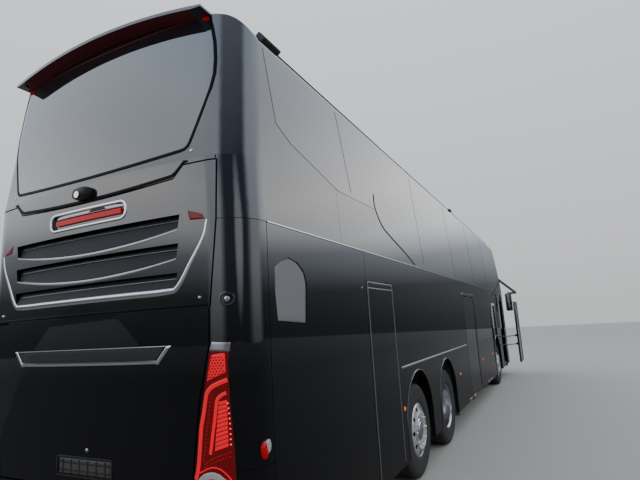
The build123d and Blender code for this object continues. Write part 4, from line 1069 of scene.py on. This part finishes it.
def roof_vent(side, s_range, z_range, ribs):
    """A ribbed vent on the roof's edge: its height is a wave along it over a plain rise."""
    s, z = np.meshgrid(np.linspace(*s_range, 8 * ribs + 1), np.linspace(*z_range, 7))
    base, outward = on_roof_edge(s, z, side)
    out = unit(outward.mean(axis=(0, 1)))
    rise = 0.030 + 0.005 * np.cos(2 * pi * ribs * (s - s_range[0]) / (s_range[1] - s_range[0]))
    return slab_between(base + rise[..., None] * out, base - 0.008 * out)


def add_side_trim():
    """Bright lines, seals, markers and reflectors on both sides, and chrome strips over the arch
    tops that are painted highlights.
    """
    finishes = {
        "arch_lips": dark_trim, "arch_painted_highlights": chrome, "skirt_reflectors_white": clear_lens,
        "skirt_reflectors_red": deep_red, "side_bright_lines": chrome,
        "pane_edge_lines": dark_trim, "pane_joints": seal_rubber,
        "side_sweep_lines": seal_rubber, "side_blocks": black_plastic,
        "side_markers": amber_lens}
    shapes = {name: [] for name in finishes}
    for side in sides:
        for axle in axle_s:
            shapes["arch_lips"].append(arch_line(
                axle, side, 0.004, 0.016, 0.008, np.linspace(0, pi, arch_steps), legs=True))
            # Chrome strips over the tops of the arches only, tapered to their ends: painted
            # highlights on the dark lips.
            shapes["arch_painted_highlights"].append(arch_line(
                axle, side, 0.005, 0.012, 0.0115, np.linspace(0.2 * pi, 0.8 * pi, arch_steps),
                scale=np.sin(np.linspace(0.06 * pi, 0.94 * pi, arch_steps))))
        level_lines = [(0.34, 13.4, belt_z, 0.014, 0.004), (2.88, 6.84, 1.27, 0.024, 0.006)]
        if side == "right":
            level_lines.append((6.90, 8.16, 2.205, 0.026, 0.008))
        for start, end, z, width, height in level_lines:
            shapes["side_bright_lines"].append(
                strip(side, [(start, z), (end, z)], width, height, pitch=wall_pitch))
        shapes["pane_edge_lines"].append(
            strip(side, [(0.458, 3.742), (0.56, 3.2), (0.75, 3.11), (1.55, 2.93),
                         (2.47, 2.948)], 0.009, 0.0025, pitch=0.06))
        shapes["pane_joints"] += [strip(side, seam, 0.011, 0.0015, pitch=wall_pitch)
                                  for seam in pane_seams]
        shapes["side_sweep_lines"].append(strip(side, smooth_path(sweep_line, 6), 0.024, 0.004))
        rail = on_roof_edge(np.arange(*roof_rail[:3]), roof_rail[3], side)
        shapes["side_blocks"] += [roof_vent(side, (0.473, 0.70), (3.812, 3.872), 9),
                                  roof_vent(side, (6.93, 7.07), (3.80, 3.835), 3),
                                  carried(*rail, strip_profile(0.012, 0.006))]
        shapes["side_markers"].append(studs(side, spread([2.872, 6.0, 8.6, 10.2], marker_z),
                                            0.024, 0.014, steps=20, rings=4))
        # The red skirt reflectors take deep_red's glow, which is painted light on them.
        for i in range(8):
            s = 6.62 + 0.216 * (i % 4) + 2.38 * (i // 4)
            shapes["skirt_reflectors_" + ("red" if i % 2 else "white")].append(
                strip(side, [(s, reflector_z), (s + 0.20, reflector_z)], 0.034, 0.006,
                      pitch=wall_pitch))
    for name, material in finishes.items():
        add_piece(name, joined(shapes[name]), material)


def add_side_doors():
    """Bright trims of the locker doors, the intake's screen and the flaps' round locks."""
    low_s, high_s = locker[0] + 0.012, locker[1] - 0.012
    for side in sides:
        bars = [strip(side, [(low_s, z), (high_s, z)], 0.014, 0.004, pitch=wall_pitch)
                for z in locker_bars_z]
        bars += [strip(side, [(s, 0.36), (s, locker_bars_z[0])], 0.013, 0.004,
                       pitch=wall_pitch) for s in (low_s, high_s)]
        add_piece(f"locker_trim_{side}", joined(bars), satin, f"locker_door_{side}")
        add_piece(f"engine_flap_lock_{side}", studs(side, [(1.90, 2.08)], 0.02, 0.006, steps=20),
                  dark_trim, f"engine_flap_{side}")
    shape = pad("right", intake_rear, intake_front, -0.0075, -0.003, rows=25, columns=15)
    add_piece("intake_screen", shape, intake_screen, "engine_flap_right")


def add_roof_pieces():
    """Two roof hatches in raised frames."""
    frames, lids = [], []
    for s in (4.2, 9.4):
        x = at(np.linspace(s - 0.38, s + 0.38, 13))[:, None]
        y = np.linspace(-0.38, 0.38, 13)[None, :]
        base, _ = cast(["roof"], spread(x, y, above_roof_z), (0, 0, -1))
        crown = 0.012 + 0.03 * (1 - ((x - at(s)) / 0.42) ** 4) * (1 - (y / 0.42) ** 4)
        lids.append(slab_between(base + spread(0, 0, crown), base - (0, 0, 0.003)))
        loop = rounded_loop((at(s) - 0.41, at(s) + 0.41), (-0.41, 0.41), 0.06)
        loop = even_path(np.concatenate([loop, loop[:1]]), 0.08)[:-1]
        places, _ = cast(["roof"], spread(*loop.T, above_roof_z), (0, 0, -1))
        frames.append(carried(places, (0, 0, 1), strip_profile(0.05, 0.022), closed=True))
    add_piece("roof_hatch_lids", joined(lids), black_plastic)
    add_piece("roof_hatch_frames", joined(frames), seal_rubber)


add_side_trim()
add_side_doors()
add_roof_pieces()

# Nose and mirrors

mirror_s, mirror_out, mirror_z = 13.9, 0.155, 2.16  # just behind the housings' faces
mirror_half = (0.072, 0.225)


def on_nose(y, z, nodes):
    """Places on the nose's face at y and z, met by lines that run back from ahead of it."""
    return cast(nodes, spread(at(ahead_s), y, z), (-1, 0, 0))


def add_wiper(name, pivot, tip, blade_half):
    """One wiper on the lower screen: an arm from its pivot to the blade's middle, and the blade
    with its rubber, a little off the glass."""
    pivot, tip = np.asarray(pivot), np.asarray(tip)
    nodes = ["windscreens", "front_mask"]
    route = pivot + (tip - pivot) * np.linspace(0, 1, 9)[:, None]
    places, outward = on_nose(*route.T, nodes)
    arm = carried(places + 0.022 * outward, outward, strip_profile(0.022, 0.012, sink=0.006))
    route = tip + unit(np.array([0.12, 1.0])) * np.linspace(-blade_half, blade_half, 13)[:, None]
    places, outward = on_nose(*route.T, nodes)
    blade = carried(places + 0.012 * outward, outward, strip_profile(0.012, 0.012, sink=0.011))
    hub = domes(*on_nose(pivot[:1], pivot[1:], nodes), 0.032, 0.036, steps=20)
    add_piece(name, joined([arm, blade, hub]), black_plastic)


def add_nose():
    """Wipers, the lamps' inner rings and glasses, a bright line and the grille's screen."""
    add_wiper("wiper_right", (-0.75, 1.30), (-0.52, 1.80), 0.40)
    add_wiper("wiper_left", (0.15, 1.30), (0.42, 1.80), 0.40)
    lamps = list(product((-1.02, -0.90, 0.90, 1.02), (0.80, 0.90)))
    nodes = ["head_lamps", "front_mask"]
    rings = [carried(*on_nose(*circle(y, z, 0.043, 28).T, nodes), strip_profile(0.009, 0.007),
                     closed=True) for y, z in lamps]
    glasses = [domes(*on_nose([y], [z], nodes), 0.036, 0.010, steps=24, rings=4)
               for y, z in lamps]
    add_piece("head_lamp_rings", joined(rings), chrome)
    add_piece("head_lamp_glasses", joined(glasses), clear_lens)
    y = np.linspace(-1.1, 1.1, 45)
    line = on_nose(y, 1.08 - 0.05 * (y / 1.1) ** 2, ["front_mask"])
    add_piece("nose_bright_line", carried(*line, strip_profile(0.03, 0.008)), chrome)
    face, _ = on_nose(np.linspace(-0.58, 0.58, 25), np.linspace(0.484, 0.586, 5)[:, None],
                      ["front_mask"])
    slab = slab_between(face + (0.003, 0, 0), face - (0.002, 0, 0))
    add_piece("nose_grille_screen", slab, louvre_screen)


def add_mirrors():
    """Mirror glasses on the rearward faces of the two housings."""
    glasses = []
    across, upward = np.linspace(-1, 1, 9), np.linspace(-1, 1, 17)
    edge = round_edged(upward, across)
    for sign in (-1, 1):
        y = sign * (half_width + mirror_out) + mirror_half[0] * across
        starts = spread(at(mirror_s), y, mirror_z + mirror_half[1] * upward[:, None])
        base, _ = cast(["mirrors"], starts, (1, 0, 0))
        glasses.append(slab_between(base - spread(0.006 * edge, 0, 0), base + (0.004, 0, 0)))
    add_piece("mirror_glasses", joined(glasses), mirror_glass)


add_nose()
add_mirrors()

# Seats

seat_width = 0.9
seat_pitch = 0.79
seat_centre_y = half_width - 0.585
driver_s, driver_y = 12.35, half_width - 0.575
stair_ranges = ((9.2, 10.6), (5.9, 7.3))
upper_seat_range = (0.9, 12.3)
seat_reach = (0.12, 0.48)  # how far a seat runs behind and ahead of its place
lower_seats = (("right", 8.43, 3), ("left", 7.55, 2))  # side, first place and count
leg_out, leg_ahead, leg_height = 0.3, 0.2, 0.33


def seat_shapes(s, y_mid, floor_z, width, lift=0.0):
    """Pads of one seat: a cushion, a leaning back and a head pad."""
    base = floor_z + lift
    half = width / 2 - 0.012
    return [
        cushion((at(s + 0.22), y_mid, base + 0.385), (0.23, half, 0.062)),
        cushion((at(s + 0.02), y_mid, base + 0.76), (0.06, half, 0.33), lean=-0.12),
        cushion((at(s - 0.035), y_mid, base + 1.05), (0.045, half * 0.72, 0.09), lean=-0.1),
    ]


def seat_places():
    """Side, place and floor height of every passenger pair, as in the CAD."""
    behind, ahead = seat_reach
    rows = []
    for side, s in product(sides, np.arange(*upper_seat_range, seat_pitch)):
        if side == "right" or all(s + ahead < a or s - behind > b for a, b in stair_ranges):
            rows.append((side, s, upper_floor_z))
    return rows + [(side, first + i * seat_pitch, lower_floor_z)
                   for side, first, count in lower_seats for i in range(count)]


def add_seats():
    """Padded passenger pairs and driver's seat, on plain pedestals."""
    pads, legs = [], []
    for side, s, floor_z in seat_places():
        middle = sides[side] * seat_centre_y
        for step in (-0.25, 0.25):
            pads += seat_shapes(s, middle + step * seat_width, floor_z, seat_width / 2)
        for leg_y in (middle - leg_out, middle + leg_out):
            path = spread(at(s + leg_ahead), leg_y, [floor_z, floor_z + leg_height])
            legs.append(carried(path, (1, 0, 0), strip_profile(0.06, 0.05, sink=0.02)))
    seats = add_piece("passenger_seat_pads", joined(pads), cloth)
    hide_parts("passenger_seats")
    add_piece("passenger_seat_legs", joined(legs), tube_steel)
    driver = joined(seat_shapes(driver_s, driver_y, lower_floor_z, 0.52, lift=0.2))
    seat = add_piece("driver_seat_pads", driver, cloth)
    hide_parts("driver_seat")
    path = spread(at(driver_s + 0.22), driver_y, [lower_floor_z, lower_floor_z + 0.53])
    add_piece("driver_seat_base", carried(path, (1, 0, 0), round_profile(0.13, 24)), cab_plastic)


add_seats()

# Studio


def sky_ramp(tree, way, stops):
    """Colour of the studio's wall at each height of a direction."""
    ramp = add_node(tree, "ValToRGB", {"Fac": split(tree, way)["Z"]})
    points = ramp.color_ramp.elements
    while len(points) < len(stops):
        points.new(0.5)
    for point, (place, color) in zip(points, stops):
        point.position = place
        point.color = (*color, 1)
    return ramp.outputs["Color"]


def lobe(tree, way, middle, low, high):
    """A soft round share of the directions: the dot product with its middle, from low to high."""
    dot = add_node(tree, "VectorMath", {0: way, 1: Vector(middle).normalized()},
                   operation="DOT_PRODUCT").outputs["Value"]
    return add_node(tree, "MapRange", {"From Min": low, "From Max": high, "Value": dot},
                    interpolation_type="SMOOTHSTEP").outputs["Result"]


def darken_mirrored(material, share):
    """The floor's colour is lowered to a share of itself where glossy surfaces mirror it, as a
    dark cloth laid out of the camera's view would do."""
    tree = material.node_tree
    plain = tree.nodes["Principled BSDF"].inputs["Base Color"].links[0].from_socket
    mirrored_ray = add_node(tree, "LightPath").outputs["Is Glossy Ray"]
    set_shader(material, {"Base Color": blended(tree, mirrored_ray, plain, (share,) * 3,
                                                blend_type="MULTIPLY")})


def level_lobe(tree, way, middle, low, high):
    """A soft upright share of the directions: as lobe, but by compass direction alone."""
    flat = add_node(tree, "VectorMath", {0: way, 1: (1, 1, 0)}, operation="MULTIPLY")
    level = add_node(tree, "VectorMath", {0: flat.outputs["Vector"]}, operation="NORMALIZE")
    return lobe(tree, level.outputs["Vector"], middle, low, high)


def add_floor():
    """Pale plain floor."""
    reach = 60
    mesh = bpy.data.meshes.new("floor")
    mesh.from_pydata([(-reach, -reach, 0), (reach, -reach, 0), (reach, reach, 0),
                      (-reach, reach, 0)], [], [(0, 1, 2, 3)])
    floor = bpy.data.objects.new("floor", mesh)
    bpy.context.scene.collection.objects.link(floor)
    floor_paint = finish("studio_floor", (0.42, 0.42, 0.41), 0.9, grain=2.0, bump=0, vary=0.04)
    darken_mirrored(floor_paint, 0.30)
    floor.data.materials.append(floor_paint)


def add_studio():
    """Floor, soft lights and a wall that only the paint mirrors: dark at the horizon, bright
    above it, with a dark flag and a pale streak beside the camera. All else sees plain grey."""
    add_floor()
    world = bpy.data.worlds.new("studio")
    bpy.context.scene.world = world
    world.use_nodes = True
    tree = world.node_tree
    way = add_node(tree, "TexCoord").outputs["Generated"]
    dark_wall = sky_ramp(tree, way, [
        (0.0, (0.05, 0.055, 0.058)), (0.07, (0.07, 0.075, 0.08)), (0.15, (0.32, 0.35, 0.40)),
        (0.21, (0.95, 0.97, 1.0)), (0.30, (1.2, 1.2, 1.22)), (0.45, (0.92, 0.95, 1.0)),
        (0.65, (0.66, 0.70, 0.77))])
    backdrop = sky_ramp(tree, way, [
        (0.0, (0.46, 0.47, 0.49)), (0.12, (0.58, 0.62, 0.68)), (0.35, (0.72, 0.80, 0.92)),
        (0.6, (0.80, 0.89, 1.0)), (0.8, (0.58, 0.72, 0.98))])
    flag = sky_ramp(tree, way, [
        (0.0, (0.05, 0.055, 0.065)), (0.5, (0.07, 0.09, 0.14)), (0.75, (0.30, 0.34, 0.42))])
    plain = sky_ramp(tree, way, [
        (0.0, (0.52, 0.53, 0.54)), (0.12, (0.60, 0.61, 0.63)), (0.6, (0.78, 0.80, 0.83))])
    streak = (0.62, 0.66, 0.74)
    color = backdrop
    for shape, middle, low, high, other in (
            (lobe, (0.87, -0.50, 0), 0.78, 0.93, dark_wall),
            (lobe, (-0.60, 0.80, 0), 0.78, 0.93, dark_wall),
            (level_lobe, (-0.62, -0.78, 0), 0.70, 0.90, flag),
            (lobe, (-0.50, -0.80, 0.22), 0.972, 0.998, streak)):
        color = blended(tree, shape(tree, way, middle, low, high), color, other)
    mirrored_ray = add_node(tree, "LightPath").outputs["Is Glossy Ray"]
    feed(tree, tree.nodes["Background"], {
        "Color": blended(tree, mirrored_ray, plain, color), "Strength": 1.25})

    for name, place, aim, size, power in (
            ("corner_soft", (-19, -17, 12), (-7, -1, 2.5), (12, 9), 420),
            ("side_fill", (3, -16, 7), (0, 0, 1.0), (10, 10), 250),
            ("front_fill", (16, 8, 9), (3, 0, 1.5), (9, 9), 250)):
        data = bpy.data.lights.new(name, "AREA")
        data.shape, data.energy = "RECTANGLE", power
        data.size, data.size_y = size
        light = bpy.data.objects.new(name, data)
        light.visible_glossy = name == "front_fill"
        turn = (Vector(aim) - Vector(place)).to_track_quat("-Z", "Y").to_matrix().to_4x4()
        light.matrix_world = Matrix.Translation(place) @ turn
        bpy.context.scene.collection.objects.link(light)


add_studio()
